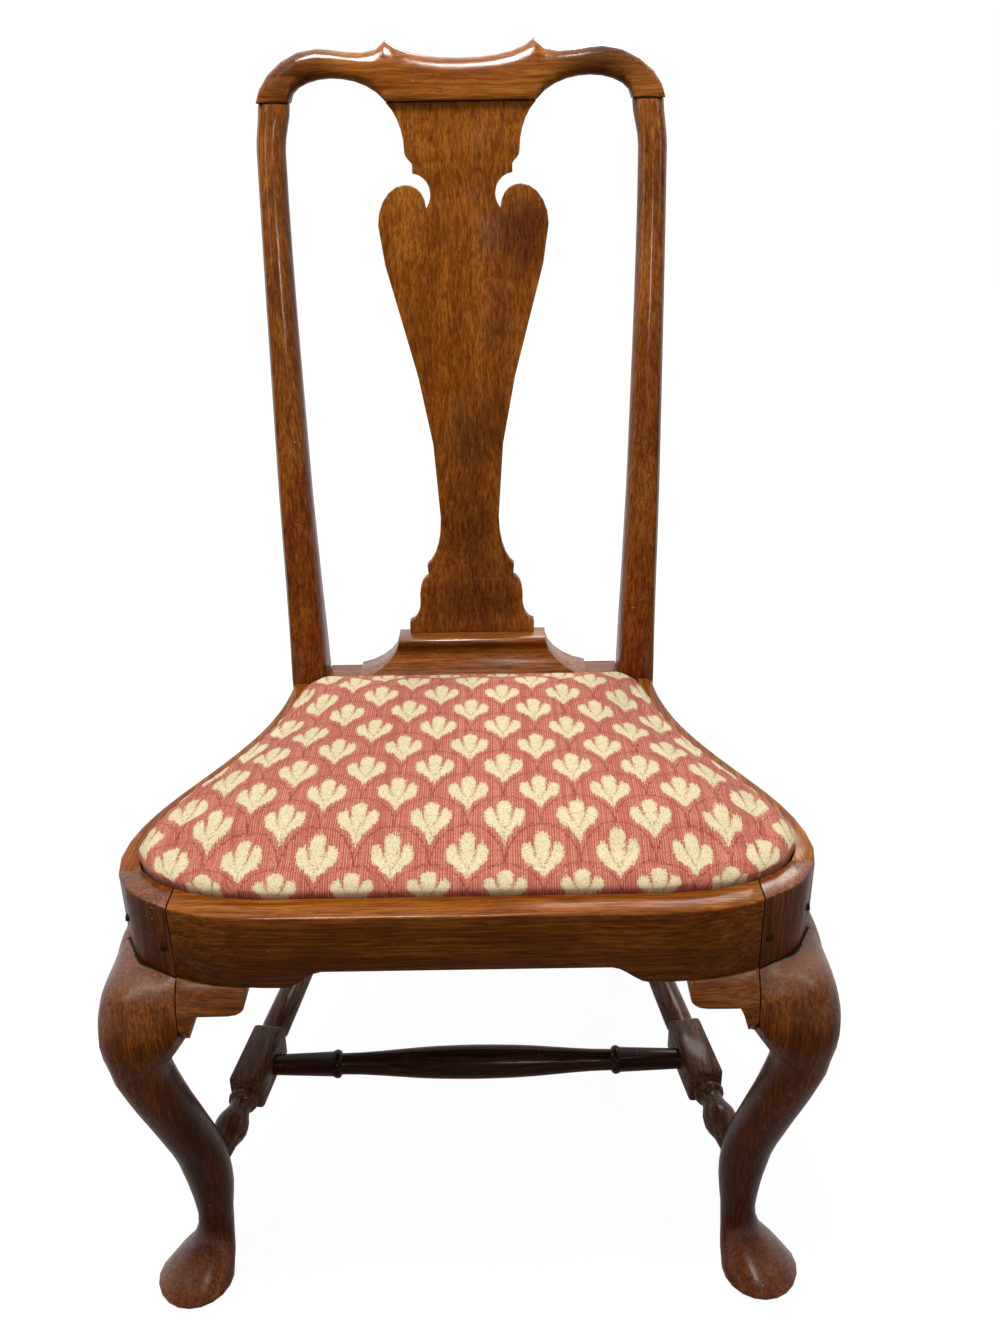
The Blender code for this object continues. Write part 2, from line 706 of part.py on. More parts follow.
def rounded_rectangle(width, depth, rounding):
    points = []
    for quarter in range(4):
        for t in (0, 0.5, 1):
            angle = (quarter + t) * math.pi / 2
            corner_x = (width / 2 - rounding) * (1 if quarter in (0, 3) else -1)
            corner_y = (depth / 2 - rounding) * (1 if quarter in (0, 1) else -1)
            points.append((corner_x + rounding * math.cos(angle), corner_y + rounding * math.sin(angle)))
    return points


def rear_post(side, word):
    top = CREST_JOINT - FIT
    block_bottom = RAIL_BOTTOM - POST_BLOCK_BELOW
    heights = [*np.arange(0, block_bottom - POST_STEP / 2, POST_STEP), block_bottom]
    heights += [*np.linspace(SEAT_HEIGHT + POST_BLOCK_ABOVE, top - WAIST_DROP, 12)]
    heights += [*np.linspace(top - WAIST_DROP, top, 5)[1:]]
    rings = []
    for z in heights:
        _, width, depth, rounding = smooth_through(POST_STATIONS, z)
        section = rounded_rectangle(width, depth, rounding)
        rings.append([(side * (post_centre(z) + x), post_middle(z) + y, z) for x, y in section])
    return loft("rear_post_" + word, rings)


# Back: crest rail, splat and shoe


def lean(made):
    # Slants an upright piece with the posts.
    slant = Matrix.Identity(4)
    slant[1][2] = BACK_SLOPE
    up = Matrix.Translation((0, POST_MIDDLE, SEAT_HEIGHT))
    made.data.transform(up @ slant @ Matrix.Translation((0, 0, -SEAT_HEIGHT)))


def crest_rail():
    end = BACK_WIDTH / 2 + POST_TOP_SWING
    post_face = end - POST_TOP_WIDTH
    top = chain(
        (0.0, YOKE_RISE),
        ((0.030, YOKE_RISE), (EAR_REACH - 0.011, EAR_RISE - 0.0115), (EAR_REACH, EAR_RISE)),
        (
            (EAR_REACH + 0.011, EAR_RISE - 0.0185),
            (SHOULDER_REACH - 0.018, SHOULDER_TOP),
            (SHOULDER_REACH, SHOULDER_TOP),
        ),
        ((SHOULDER_REACH + 0.032, SHOULDER_TOP), (end, 0.020), (end, CREST_EDGE / 2)),
    )
    under = chain(
        (SPLAT_JOINT_REACH, 0.0),
        ((SPLAT_JOINT_REACH + 0.0125, 0.015), (ARCH_REACH - 0.018, ARCH_RISE), (ARCH_REACH, ARCH_RISE)),
        ((ARCH_REACH + 0.019, ARCH_RISE), (post_face - 0.002, 0.013), (post_face, 0.0)),
    )
    upper = np.array(top)
    lower = np.array([(0.0, 0.0), *under, (end, 0.0)])
    half = sorted({round(x, 5) for x in (*upper[:, 0], *lower[:, 0])})
    angles = (np.arange(CREST_SIDES) + 0.5) * math.tau / CREST_SIDES
    rings = []
    for x in [-x for x in reversed(half[1:])] + half:
        high = float(np.interp(abs(x), upper[:, 0], upper[:, 1]))
        low = float(np.interp(abs(x), lower[:, 0], lower[:, 1])) + FIT
        high = max(high, low + CREST_EDGE)
        free = min(1.0, (low - FIT) / (ARCH_RISE * 0.4))
        depth = CREST_MIDDLE_DEPTH + (CREST_DEPTH - CREST_MIDDLE_DEPTH) * ease(abs(x) / end)
        ring = []
        for angle in angles:
            under_side = CREST_FLAT + (CREST_ROUND - CREST_FLAT) * free
            square = CREST_ROUND if math.sin(angle) > 0 else under_side
            y = math.copysign(abs(math.cos(angle)) ** (2 / square), math.cos(angle)) * depth / 2
            z = math.copysign(abs(math.sin(angle)) ** (2 / square), math.sin(angle))
            ring.append((x, y, CREST_JOINT + (low + high) / 2 + z * (high - low) / 2))
        rings.append(ring)
    crest = loft("crest_rail", rings)
    lean(crest)
    return crest


def splat_outline():
    foot = SHOE_TOP + FIT
    head = CREST_JOINT
    waist = foot + WAIST_RISE
    swell = head - SWELL_DROP
    # Base: a plinth, a hollow, a round shoulder, a step and a second hollow up to the waist
    hollow = SPLAT_FOOT - 0.0115
    step = SPLAT_FOOT - 0.021
    right = chain(
        (SPLAT_FOOT, foot + 0.0115),
        ((SPLAT_FOOT - 0.008, foot + 0.013), (hollow, foot + 0.022), (hollow, foot + 0.032)),
        ((hollow + 0.001, foot + 0.047), (step + 0.007, foot + 0.055), (step, foot + 0.058)),
    )
    # Then the long side of the vase, its round lobe and the hook that turns in under the neck
    lobe = SPLAT_SWELL - 0.026
    hook = SPLAT_SWELL - 0.046
    nook = 0.031
    bead = 0.0475
    neck = 0.0545
    right += chain(
        (step + 0.0012, foot + 0.069),
        ((SPLAT_WAIST + 0.008, foot + 0.074), (SPLAT_WAIST, foot + 0.088), (SPLAT_WAIST, waist)),
        ((SPLAT_WAIST, waist + 0.125), (SPLAT_SWELL, swell - 0.050), (SPLAT_SWELL, swell)),
        ((SPLAT_SWELL, swell + 0.019), (lobe + 0.014, swell + 0.035), (lobe, swell + 0.035)),
        ((lobe - 0.011, swell + 0.035), (hook + 0.001, swell + 0.028), (hook, swell + 0.014)),
        ((nook + 0.0015, swell + 0.018), (nook, swell + 0.022), (nook, swell + 0.0275)),
        ((nook, swell + 0.037), (bead - 0.0085, swell + 0.0445), (bead, swell + 0.0450)),
    )
    # Neck: a step, then the flare up to the crest
    right += chain(
        (bead, swell + 0.0525),
        ((bead + 0.0005, swell + 0.0555), (neck, swell + 0.0580), (neck, swell + 0.0640)),
        ((neck, head - 0.026), (neck + 0.0055, head - 0.010), (SPLAT_JOINT_REACH, head - FIT)),
    )
    return mirrored([(SPLAT_FOOT, foot)] + right)


def splat():
    made = plate("splat", splat_outline(), -SPLAT_THICKNESS / 2, SPLAT_THICKNESS / 2, "elevation")
    lean(made)
    return made


def shoe():
    back = SEAT_DEPTH + POST_DEPTH
    front = back - SHOE_DEPTH
    bottom = SEAT_HEIGHT + FIT
    top = SHOE_TOP
    upper_back = post_middle(top) + SPLAT_THICKNESS / 2
    lip = upper_back - SHOE_TOP_DEPTH
    # A bead along the top edge, then a hollow down to the toe
    profile = chain(
        (lip + 0.004, top),
        ((lip + 0.001, top), (lip - 0.001, top - 0.002), (lip - 0.001, top - 0.004)),
        ((lip - 0.001, top - 0.007), (lip + 0.001, top - 0.008), (lip + 0.002, top - 0.008)),
        ((lip + 0.002, top - 0.022), (front + 0.005, bottom + 0.012), (front, bottom + 0.005)),
    )
    profile += [(front, bottom), (back, bottom), (back, bottom + 0.006), (upper_back, top)]
    made = plate("shoe", profile, -SHOE_FLARE_REACH, SHOE_FLARE_REACH, "profile")
    half = chain(
        (SHOE_FLARE_REACH, bottom + SHOE_TOE),
        (
            (SHOE_FLARE_REACH - 0.020, bottom + SHOE_TOE + 0.003),
            (SHOE_TOP_REACH + 0.003, top - 0.022),
            (SHOE_TOP_REACH, top - 0.004),
        ),
    )
    outline = mirrored([(SHOE_FLARE_REACH, bottom - FIT), *half, (SHOE_TOP_REACH, top + FIT)])
    face = plate("shoe front", outline, front - SHOE_DEPTH, back + SHOE_DEPTH, "elevation")
    combine(made, face, "INTERSECT")
    return made


# Stretchers


def stretcher_line(side):
    front = leg_centre(STRETCHER_HEIGHT)
    rear_height = STRETCHER_HEIGHT + STRETCHER_CLIMB
    start = Vector((side * (front[0] - STRETCHER_INSET), front[1] - STRETCHER_INSET, STRETCHER_HEIGHT))
    end = Vector((side * (post_centre(rear_height) - STRETCHER_INSET), post_middle(rear_height), rear_height))
    return start, end


def on_line(line, y):
    start, end = line
    return start.lerp(end, (y - start.y) / (end.y - start.y))


def side_profile(line):
    # Distance from the tip in the leg, and radius, from the front bulb to the rear taper.
    start, end = line
    length = (end - start).length
    middle = (on_line(line, MEDIAL_SETBACK) - start).length
    front = middle - BLOCK_LENGTH / 2
    rear = middle + BLOCK_LENGTH / 2
    return [
        (0.0, STRETCHER_TIP),
        *((front - ahead, radius) for ahead, radius in FRONT_TURNING),
        (middle, BLOCK_CORE),
        *((rear + behind, radius) for behind, radius in REAR_TURNING),
        *((length - before, radius) for before, radius in REAR_TAPER),
        (length, STRETCHER_TIP),
    ]


def side_stretcher(side, word, leg, post):
    line = stretcher_line(side)
    start, end = line
    profile = side_profile(line)
    made = turned("side_stretcher_" + word, profile, start, end)
    for receiver in (leg, post):
        socket = turned(f"{receiver.name} socket", profile, start, end, FIT)
        combine(receiver, socket, "DIFFERENCE")
    half = (BLOCK_WIDTH / 2, BLOCK_HEIGHT / 2, BLOCK_LENGTH / 2)
    square = block(made.name + " block", half, [-size for size in half])
    bevel = square.modifiers.new("chamfer", "BEVEL")
    bevel.width = BLOCK_CHAMFER
    bevel.segments = 2
    square = made_mesh(square, made.name + " square")
    along = (end - start).normalized()
    across = along.cross(Vector((0, 0, 1))).normalized()
    turn = Matrix((across, across.cross(along), along)).transposed().to_4x4()
    square.data.transform(Matrix.Translation(on_line(line, MEDIAL_SETBACK)) @ turn)
    combine(made, square, "UNION")
    return made


def medial_stretcher(side_pieces):
    middle = on_line(stretcher_line(1), MEDIAL_SETBACK)
    tip = middle.x - BLOCK_WIDTH / 2 + SOCKET_DEPTH
    neck = RING_REACH - RING_HALF
    swell = ((0.0, MEDIAL_SWELL), (neck * 0.27, MEDIAL_SWELL * 0.96), (neck, MEDIAL_NECK))
    half = [(x, float(smooth_through(swell, x)[0])) for x in np.linspace(0, neck, 8)]
    half += [
        (RING_REACH - RING_HALF * 0.6, MEDIAL_RING * 0.93),
        (RING_REACH, MEDIAL_RING),
        (RING_REACH + RING_HALF * 0.6, MEDIAL_RING * 0.95),
        (RING_REACH + RING_HALF, MEDIAL_RING * 0.86),
        (tip - SOCKET_DEPTH, MEDIAL_END),
        (tip, MEDIAL_END),
    ]
    profile = [(tip - x, radius) for x, radius in reversed(half[1:])]
    profile += [(tip + x, radius) for x, radius in half]
    start = Vector((-tip, middle.y, middle.z))
    end = Vector((tip, middle.y, middle.z))
    made = turned("medial_stretcher", profile, start, end)
    for piece in side_pieces:
        combine(piece, turned(piece.name + " socket", profile, start, end, FIT), "DIFFERENCE")
    return made


def rear_stretcher(posts):
    z = REAR_STRETCHER_HEIGHT
    tip = post_centre(z)
    y = post_middle(z)
    shape = ((0.0, REAR_STRETCHER_TIP), (REAR_STRETCHER_ROOT, REAR_STRETCHER_NECK), (tip, REAR_SWELL))
    half = [(x, float(smooth_through(shape, x)[0])) for x in np.linspace(0, tip, 9)]
    profile = half + [(2 * tip - x, radius) for x, radius in reversed(half[:-1])]
    start = Vector((-tip, y, z))
    end = Vector((tip, y, z))
    made = turned("rear_stretcher", profile, start, end)
    for post in posts:
        combine(post, turned(post.name + " cross socket", profile, start, end, FIT), "DIFFERENCE")
    return made


# Drop-in seat


COVER_BOTTOM = LEDGE + FIT
SLIP_BOTTOM = COVER_BOTTOM + COVER_THICKNESS + FIT
SLIP_TOP = SLIP_BOTTOM + SLIP_THICKNESS
STRAP_SWING = (STRAP_THICKNESS + FIT) / 2
STRAP_LEVEL = SLIP_TOP + FIT + STRAP_THICKNESS / 2 + STRAP_SWING
HESSIAN_BOTTOM = STRAP_LEVEL + STRAP_SWING + STRAP_THICKNESS / 2 + FIT
WADDING_BOTTOM = HESSIAN_BOTTOM + HESSIAN_THICKNESS + FIT
SLIP_INSET = SEAT_GAP + COVER_THICKNESS + FIT
SLIP_MIDDLE = (RIM_FRONT + SEAT_DEPTH) / 2
SLIP_FRONT = RIM_FRONT + SLIP_INSET + SLIP_WIDTH
SLIP_REAR = SEAT_DEPTH - REAR_GAP - SLIP_INSET - SLIP_WIDTH


def slip_outline(inset, count=COVER_POINTS):
    # Closed plan outline of the drop-in seat, moved in from the edge of its rebate.
    edge = seat_edge(inset, 1)
    rear = SEAT_DEPTH - REAR_GAP - inset
    corner = SLIP_CORNER
    side = edge[edge[:, 1] < rear - corner]
    x = edge_x(inset, rear - corner, 1)
    turn = np.linspace(0, math.pi / 2, 6)
    arc = np.column_stack((x - corner + corner * np.cos(turn), rear - corner + corner * np.sin(turn)))
    half = np.vstack((side, arc, [(0, rear)]))
    run = np.concatenate(([0], np.cumsum(np.linalg.norm(np.diff(half, axis=0), axis=1))))
    even = np.linspace(0, run[-1], count)
    right = [(np.interp(at, run, half[:, 0]), np.interp(at, run, half[:, 1])) for at in even]
    right[-1] = (0.0, rear)
    return mirrored(right)


def slip_right():
    return np.array([point for point in slip_outline(SLIP_INSET) if point[0] >= 0])


def slip_reach(y):
    right = slip_right()
    return float(np.interp(y, right[:, 1], right[:, 0]))


def corners_only(outline):
    # Leaves out the points that lie on the straight line between their neighbours.
    points = [Vector(point) for point in outline]
    before = points[-1:] + points[:-1]
    after = points[1:] + points[:1]
    turns = [(here - last).cross(later - here) for last, here, later in zip(before, points, after)]
    return [tuple(point) for point, turn in zip(points, turns) if abs(turn) > STRAIGHT]


def slip_end(place, limit, inside):
    # Front or rear member: the end of the outline, cut off square.
    reach = slip_reach(limit)
    ends = [point for point in slip_outline(SLIP_INSET) if inside * (limit - point[1]) > FIT]
    right = [point for point in ends if point[0] >= 0]
    left = [point for point in ends if point[0] < 0]
    corners = [(reach, limit), (-reach, limit)]
    outline = right + corners + left if inside > 0 else right + left + corners[::-1]
    return plate("slip_frame_" + place, corners_only(outline), SLIP_BOTTOM, SLIP_TOP, "plan")


def slip_side(side, word):
    front = SLIP_FRONT + FIT
    rear = SLIP_REAR - FIT
    between = [y for _, y in slip_right() if front + FIT < y < rear - FIT]
    rings = []
    for y in (front, *between, rear):
        outer = slip_reach(y)
        inner = outer - SLIP_WIDTH
        corners = ((inner, SLIP_BOTTOM), (outer, SLIP_BOTTOM), (outer, SLIP_TOP), (inner, SLIP_TOP))
        rings.append([(side * x, y, z) for x, z in corners])
    return loft("slip_frame_" + word, rings)


def slip_frame():
    ends = (
        (slip_end("front", SLIP_FRONT, 1), SLIP_FRONT, -1),
        (slip_end("rear", SLIP_REAR, -1), SLIP_REAR, 1),
    )
    made = [member for member, _, _ in ends]
    half = SLIP_TENON_THICKNESS / 2
    middle = (SLIP_BOTTOM + SLIP_TOP) / 2
    for side, word in SIDES:
        member = slip_side(side, word)
        for receiver, y, outward in ends:
            x = side * (slip_reach(y) - SLIP_TENON_INSET)
            near = (x - SLIP_TENON_WIDTH / 2, y - outward * TENON_ROOT, middle - half)
            far = (x + SLIP_TENON_WIDTH / 2, y + outward * SLIP_TENON, middle + half)
            tenon(member, receiver, near, far)
        made.append(member)
    return made


def cushion_rings(inset, lower):
    # Rings from the outline inwards: a rolled edge and then a gentle crown.
    outline = np.array(slip_outline(inset))
    middle = np.array((0.0, SLIP_MIDDLE))
    rings = []
    for share in (1.0, 0.996, 0.982, 0.960, 0.930, EDGE_SHARE, 0.78, 0.58, 0.34, 0.12):
        roll = max((share - EDGE_SHARE) / (1 - EDGE_SHARE), 0)
        z = SLIP_TOP + EDGE_ROLL * math.sqrt(1 - roll * roll) + CROWN * (1 - share * share) - lower
        rings.append([(x, y, z) for x, y in middle + (outline - middle) * share])
    return rings


def seat_cover():
    turned_under = [[(x, y, COVER_BOTTOM) for x, y in slip_outline(SEAT_GAP + hem)] for hem in (COVER_HEM, 0)]
    work = bmesh.new()
    grid = [[work.verts.new(point) for point in ring] for ring in turned_under + cushion_rings(SEAT_GAP, 0.0)]
    for near, far in zip(grid, grid[1:]):
        for i, corner in enumerate(near):
            j = (i + 1) % len(near)
            work.faces.new((corner, near[j], far[j], far[i]))
    work.faces.new(grid[-1])
    made = add("seat_cover", work)
    shell = made.modifiers.new("cloth", "SOLIDIFY")
    shell.thickness = COVER_THICKNESS
    shell.offset = -1
    shell.use_even_offset = True
    return made


def seat_wadding():
    under = COVER_THICKNESS + 2 * FIT
    rings = [ring for ring in cushion_rings(SLIP_INSET + FIT, under) if ring[0][2] > WADDING_BOTTOM + FIT]
    base = [(x, y, WADDING_BOTTOM) for x, y, z in rings[0]]
    return loft("seat_wadding", [base, *rings])


def seat_hessian():
    outline = slip_outline(SLIP_INSET + HESSIAN_MARGIN)
    return plate("seat_hessian", outline, HESSIAN_BOTTOM, HESSIAN_BOTTOM + HESSIAN_THICKNESS, "plan")


def strap(name, at, along_y, index, crossings, low, high):
    # One strap, woven over and under those that cross it.
    heights = [(low, -STRAP_SWING), (low + STRAP_LAP, -STRAP_SWING)]
    for order, crossing in enumerate(crossings):
        over = STRAP_SWING if (order + index + along_y) % 2 else -STRAP_SWING
        heights += [(crossing - STRAP_WIDTH / 2, over), (crossing + STRAP_WIDTH / 2, over)]
    heights += [(high - STRAP_LAP, -STRAP_SWING), (high, -STRAP_SWING)]
    rings = []
    for run, lift in heights:
        ring = []
        for across, up in ((-1, -1), (1, -1), (1, 1), (-1, 1)):
            sideways = at + across * STRAP_WIDTH / 2
            z = STRAP_LEVEL + lift + up * STRAP_THICKNESS / 2
            ring.append((sideways, run, z) if along_y else (run, sideways, z))
        rings.append(ring)
    return loft(name, rings)


def webbing():
    middle = SLIP_MIDDLE
    columns = [(i - (STRAPS_ALONG - 1) / 2) * STRAP_PITCH for i in range(STRAPS_ALONG)]
    rows = [middle + (i - (STRAPS_ACROSS - 1) / 2) * STRAP_PITCH for i in range(STRAPS_ACROSS)]
    front = SLIP_FRONT - STRAP_LAP
    rear = SLIP_REAR + STRAP_LAP
    made = []
    for i, x in enumerate(columns):
        made.append(strap(f"webbing_long_{i + 1}", x, True, i, rows, front, rear))
    for i, y in enumerate(rows):
        reach = min(edge_x(SLIP_INSET, edge, 1) for edge in (y - STRAP_WIDTH / 2, y + STRAP_WIDTH / 2))
        reach -= SLIP_WIDTH - STRAP_LAP
        made.append(strap(f"webbing_cross_{i + 1}", y, False, i, columns, -reach, reach))
    return made


# Pins through the rails' tenons


def joint_pin(name, start, inward, pieces):
    first = Vector(start) - Vector(inward) * PIN_PROUD
    last = Vector(start) + Vector(inward) * PIN_LENGTH
    made = peg(name, first, last, PIN_RADIUS)
    mouth = first - Vector(inward) * PIN_RADIUS
    bottom = last + Vector(inward) * FIT
    for piece in pieces:
        combine(piece, peg(f"{name} hole in {piece.name}", mouth, bottom, PIN_RADIUS + FIT), "DIFFERENCE")
    return made


# Assembly


def dress(made, finish, parent):
    colour, roughness = FINISHES[finish]
    look = bpy.data.materials.new(made.name + " " + finish)
    look.use_nodes = True
    shader = look.node_tree.nodes["Principled BSDF"]
    shader.inputs["Base Color"].default_value = (*colour, 1)
    shader.inputs["Roughness"].default_value = roughness
    shader.inputs["Metallic"].default_value = 0
    made.data.materials.append(look)
    made.data.shade_smooth()
    made.data.set_sharp_from_angle(angle=CREASE)
    made.parent = parent


def empty(name, place, parent=None):
    made = bpy.data.objects.new(name, None)
    made.location = place
    made.parent = parent
    PARTS.objects.link(made)
    return made


def build_frame(root):
    front = front_seat_rail()
    rear = rear_seat_rail()
    crest = crest_rail()
    board = splat()
    foot = shoe()
    posts = []
    stretchers = []
    walnut = [front, rear, crest, foot]
    dark = []
    pins = []
    for side, word in SIDES:
        leg = front_leg(side, word)
        post = rear_post(side, word)
        rail = side_rail(side, word)
        front_tenon = edge_y(0, JOINT_X) + FRONT_TENON_INSET
        side_tenon = edge_x(0, JOINT_Y) - SIDE_TENON_INSET
        rear_tenon = RAIL_REAR - SIDE_RAIL_THICKNESS / 2
        thick = TENON_THICKNESS / 2
        tenon(
            front, leg,
            (side * (JOINT_X - TENON_ROOT), front_tenon - thick, TENON_LOW),
            (side * (JOINT_X + FRONT_TENON), front_tenon + thick, TENON_HIGH),
        )
        tenon(
            rail, leg,
            (side * (side_tenon - thick), JOINT_Y + TENON_ROOT, TENON_LOW),
            (side * (side_tenon + thick), JOINT_Y - SIDE_TENON, TENON_HIGH),
        )
        tenon(
            rail, post,
            (side * (rear_tenon - thick), SEAT_DEPTH - TENON_ROOT, TENON_LOW),
            (side * (rear_tenon + thick), SEAT_DEPTH + REAR_TENON, TENON_HIGH),
        )
        cross_tenon = SEAT_DEPTH + REAR_TENON + TENON_THICKNESS
        tenon(
            rear, post,
            (side * (POST_INNER - TENON_ROOT), cross_tenon - thick, TENON_LOW),
            (side * (POST_INNER + REAR_TENON), cross_tenon + thick, TENON_HIGH),
        )
        top = post_centre(CREST_JOINT)
        top_y = post_middle(CREST_JOINT)
        tenon(
            post, crest,
            (side * (top - CREST_TENON_WIDTH / 2), top_y - thick, CREST_JOINT - TENON_ROOT),
            (side * (top + CREST_TENON_WIDTH / 2), top_y + thick, CREST_JOINT + CREST_TENON),
        )
        stretcher = side_stretcher(side, word, leg, post)
        for place in ("front", "side"):
            walnut.append(knee_bracket(side, word, place))
        pin_z = (TENON_LOW + TENON_HIGH) / 2
        pin_x = JOINT_X + PIN_SETBACK
        pin_y = JOINT_Y - PIN_SETBACK
        back_y = SEAT_DEPTH + PIN_SETBACK * 2
        inward = (-side, 0, 0)
        pins += [
            joint_pin("pin_front_" + word, (side * pin_x, edge_y(0, pin_x), pin_z), (0, 1, 0), (leg, front)),
            joint_pin("pin_side_" + word, (side * edge_x(0, pin_y), pin_y, pin_z), inward, (leg, rail)),
            joint_pin("pin_rear_" + word, (side * BACK_WIDTH / 2, back_y, pin_z), inward, (post, rail)),
        ]
        walnut += [leg, post, rail]
        posts.append(post)
        stretchers.append(stretcher)
    thick = TONGUE_THICKNESS / 2
    for receiver, z in ((crest, CREST_JOINT), (foot, SHOE_TOP)):
        y = post_middle(z)
        reach = math.copysign(TONGUE_LENGTH, z - SEAT_HEIGHT - BACK_HEIGHT / 2)
        tenon(
            board, receiver,
            (-TONGUE_REACH, y - thick, z - math.copysign(TENON_ROOT, reach)),
            (TONGUE_REACH, y + thick, z + reach),
        )
    dark += [*stretchers, medial_stretcher(stretchers), rear_stretcher(posts)]
    groups = ((walnut, "walnut"), (dark, "dark walnut"), ([board], "splat walnut"), (pins, "pin oak"))
    for pieces, finish in groups:
        for piece in pieces:
            dress(piece, finish, root)


def build_seat(root):
    lift = empty("drop_in_seat", (0, SLIP_MIDDLE, LEDGE), root)
    groups = (
        (slip_frame(), "frame pine"),
        (webbing(), "webbing"),
        ([seat_hessian()], "hessian"),
        ([seat_wadding()], "wadding"),
        ([seat_cover()], "rose cloth"),
    )
    for pieces, finish in groups:
        for piece in pieces:
            dress(piece, finish, lift)
            piece.matrix_parent_inverse = Matrix.Translation(lift.location).inverted()


def centre_on_floor(root):
    # Puts the origin under the middle of the chair's outer box.
    bpy.context.view_layer.update()
    graph = bpy.context.evaluated_depsgraph_get()
    corners = []
    for made in PARTS.objects:
        if made.type == "MESH":
            there = made.evaluated_get(graph)
            corners += [there.matrix_world @ Vector(corner) for corner in there.bound_box]
    for axis in (0, 1):
        reach = [corner[axis] for corner in corners]
        root.location[axis] = -(min(reach) + max(reach)) / 2


chair = empty("chair", (0, 0, 0))
build_frame(chair)
build_seat(chair)
for cutter in CUTTERS.objects:
    cutter.parent = chair
centre_on_floor(chair)
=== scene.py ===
import math

import bmesh
import bpy
import numpy as np
from mathutils import Matrix, Vector


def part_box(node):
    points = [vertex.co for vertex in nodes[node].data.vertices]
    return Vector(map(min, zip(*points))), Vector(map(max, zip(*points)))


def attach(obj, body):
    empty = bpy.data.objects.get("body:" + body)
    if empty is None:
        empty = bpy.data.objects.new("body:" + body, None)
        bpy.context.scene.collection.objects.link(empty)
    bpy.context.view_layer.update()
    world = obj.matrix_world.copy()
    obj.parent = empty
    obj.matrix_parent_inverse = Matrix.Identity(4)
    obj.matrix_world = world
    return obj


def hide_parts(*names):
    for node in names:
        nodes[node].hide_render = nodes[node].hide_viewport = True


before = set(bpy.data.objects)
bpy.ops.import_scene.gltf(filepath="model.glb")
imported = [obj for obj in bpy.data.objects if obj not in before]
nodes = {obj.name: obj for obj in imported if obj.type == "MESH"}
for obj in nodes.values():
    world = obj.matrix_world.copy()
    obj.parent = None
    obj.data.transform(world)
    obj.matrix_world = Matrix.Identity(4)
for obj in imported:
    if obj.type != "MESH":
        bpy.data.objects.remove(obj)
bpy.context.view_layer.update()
scene = bpy.context.scene
print("frame:", len(nodes), "nodes")


# Shader sums

class Wire:  # a socket whose sums become Math nodes
    def __init__(self, tree, socket=None):
        self.tree = tree
        self.socket = socket

    def node(self, kind, settings=None, sockets=None, out=0):
        made = self.tree.nodes.new("ShaderNode" + kind)
        for name, value in (settings or {}).items():
            if name == "stops":
                first, *middle, last = value
                for element, (at, colour) in zip(made.color_ramp.elements, (first, last)):
                    element.position = at
                    element.color = (*colour, 1)
                for at, colour in middle:
                    made.color_ramp.elements.new(at).color = (*colour, 1)
            else:
                setattr(made, name, value)
        for name, value in (sockets or {}).items():
            if isinstance(value, Wire):
                self.tree.links.new(value.socket, made.inputs[name])
            elif value is not None:
                made.inputs[name].default_value = value
        return Wire(self.tree, made.outputs[out])

    def sum(self, operation, *values):
        return self.node("Math", {"operation": operation}, dict(enumerate(values)))

    def __add__(self, other):
        return self.sum("ADD", self, other)

    def __radd__(self, other):
        return self.sum("ADD", other, self)

    def __sub__(self, other):
        return self.sum("SUBTRACT", self, other)

    def __rsub__(self, other):
        return self.sum("SUBTRACT", other, self)

    def __mul__(self, other):
        return self.sum("MULTIPLY", self, other)

    def __rmul__(self, other):
        return self.sum("MULTIPLY", other, self)

    def __truediv__(self, other):
        return self.sum("DIVIDE", self, other)

    def __abs__(self):
        return self.sum("ABSOLUTE", self)

    def __pow__(self, other):
        return self.sum("POWER", self, other)

    def __mod__(self, other):
        return self.sum("FLOORED_MODULO", self, other)

    def floor(self):
        return self.sum("FLOOR", self)

    def most(self, other):
        return self.sum("MAXIMUM", self, other)

    def least(self, other):
        return self.sum("MINIMUM", self, other)

    def ramp(self, low, high):  # 0 below low, 1 above high, eased
        return self.node("MapRange", {"interpolation_type": "SMOOTHSTEP"}, {0: self, 1: low, 2: high})

    def over(self, under, top):  # this share of the top colour over the one under it
        return self.node("Mix", {"data_type": "RGBA"}, {0: self, 6: paint(under), 7: paint(top)}, 2)

    def tinted(self, under, tint):  # this share of the colour under it is multiplied by the tint
        sockets = {0: self, 6: paint(under), 7: paint(tint)}
        return self.node("Mix", {"data_type": "RGBA", "blend_type": "MULTIPLY"}, sockets, 2)

    def noise(self, stretch, detail=2.0, rough=0.5, shift=(0, 0, 0)):
        spread = self.node("VectorMath", {"operation": "MULTIPLY_ADD"}, {0: self, 1: stretch, 2: shift})
        sockets = {"Vector": spread, "Scale": 1.0, "Detail": detail, "Roughness": rough}
        return self.node("TexNoise", {}, sockets)

    def parts(self):
        made = self.node("SeparateXYZ", {}, {0: self})
        return [Wire(self.tree, socket) for socket in made.socket.node.outputs]


def paint(colour):
    return colour if isinstance(colour, Wire) else (*colour, 1)


def newFinish(name, fixed):
    look = bpy.data.materials.new(name)
    look.use_nodes = True
    shader = look.node_tree.nodes["Principled BSDF"]
    for socket, value in fixed.items():
        shader.inputs[socket].default_value = value
    return look, Wire(look.node_tree), shader


def feed(wire, shader, sockets):
    for name, value in sockets.items():
        wire.tree.links.new(value.socket, shader.inputs[name])


# Camera at the photograph's height and angle

cameraLook = {
    "place": (0.0285, -0.9625, 0.940), "yaw": 0.01, "pitch": 24.74, "roll": -0.91,
    "focal": 1166.8, "pictureHeight": 1333, "sensor": 36.0,
}


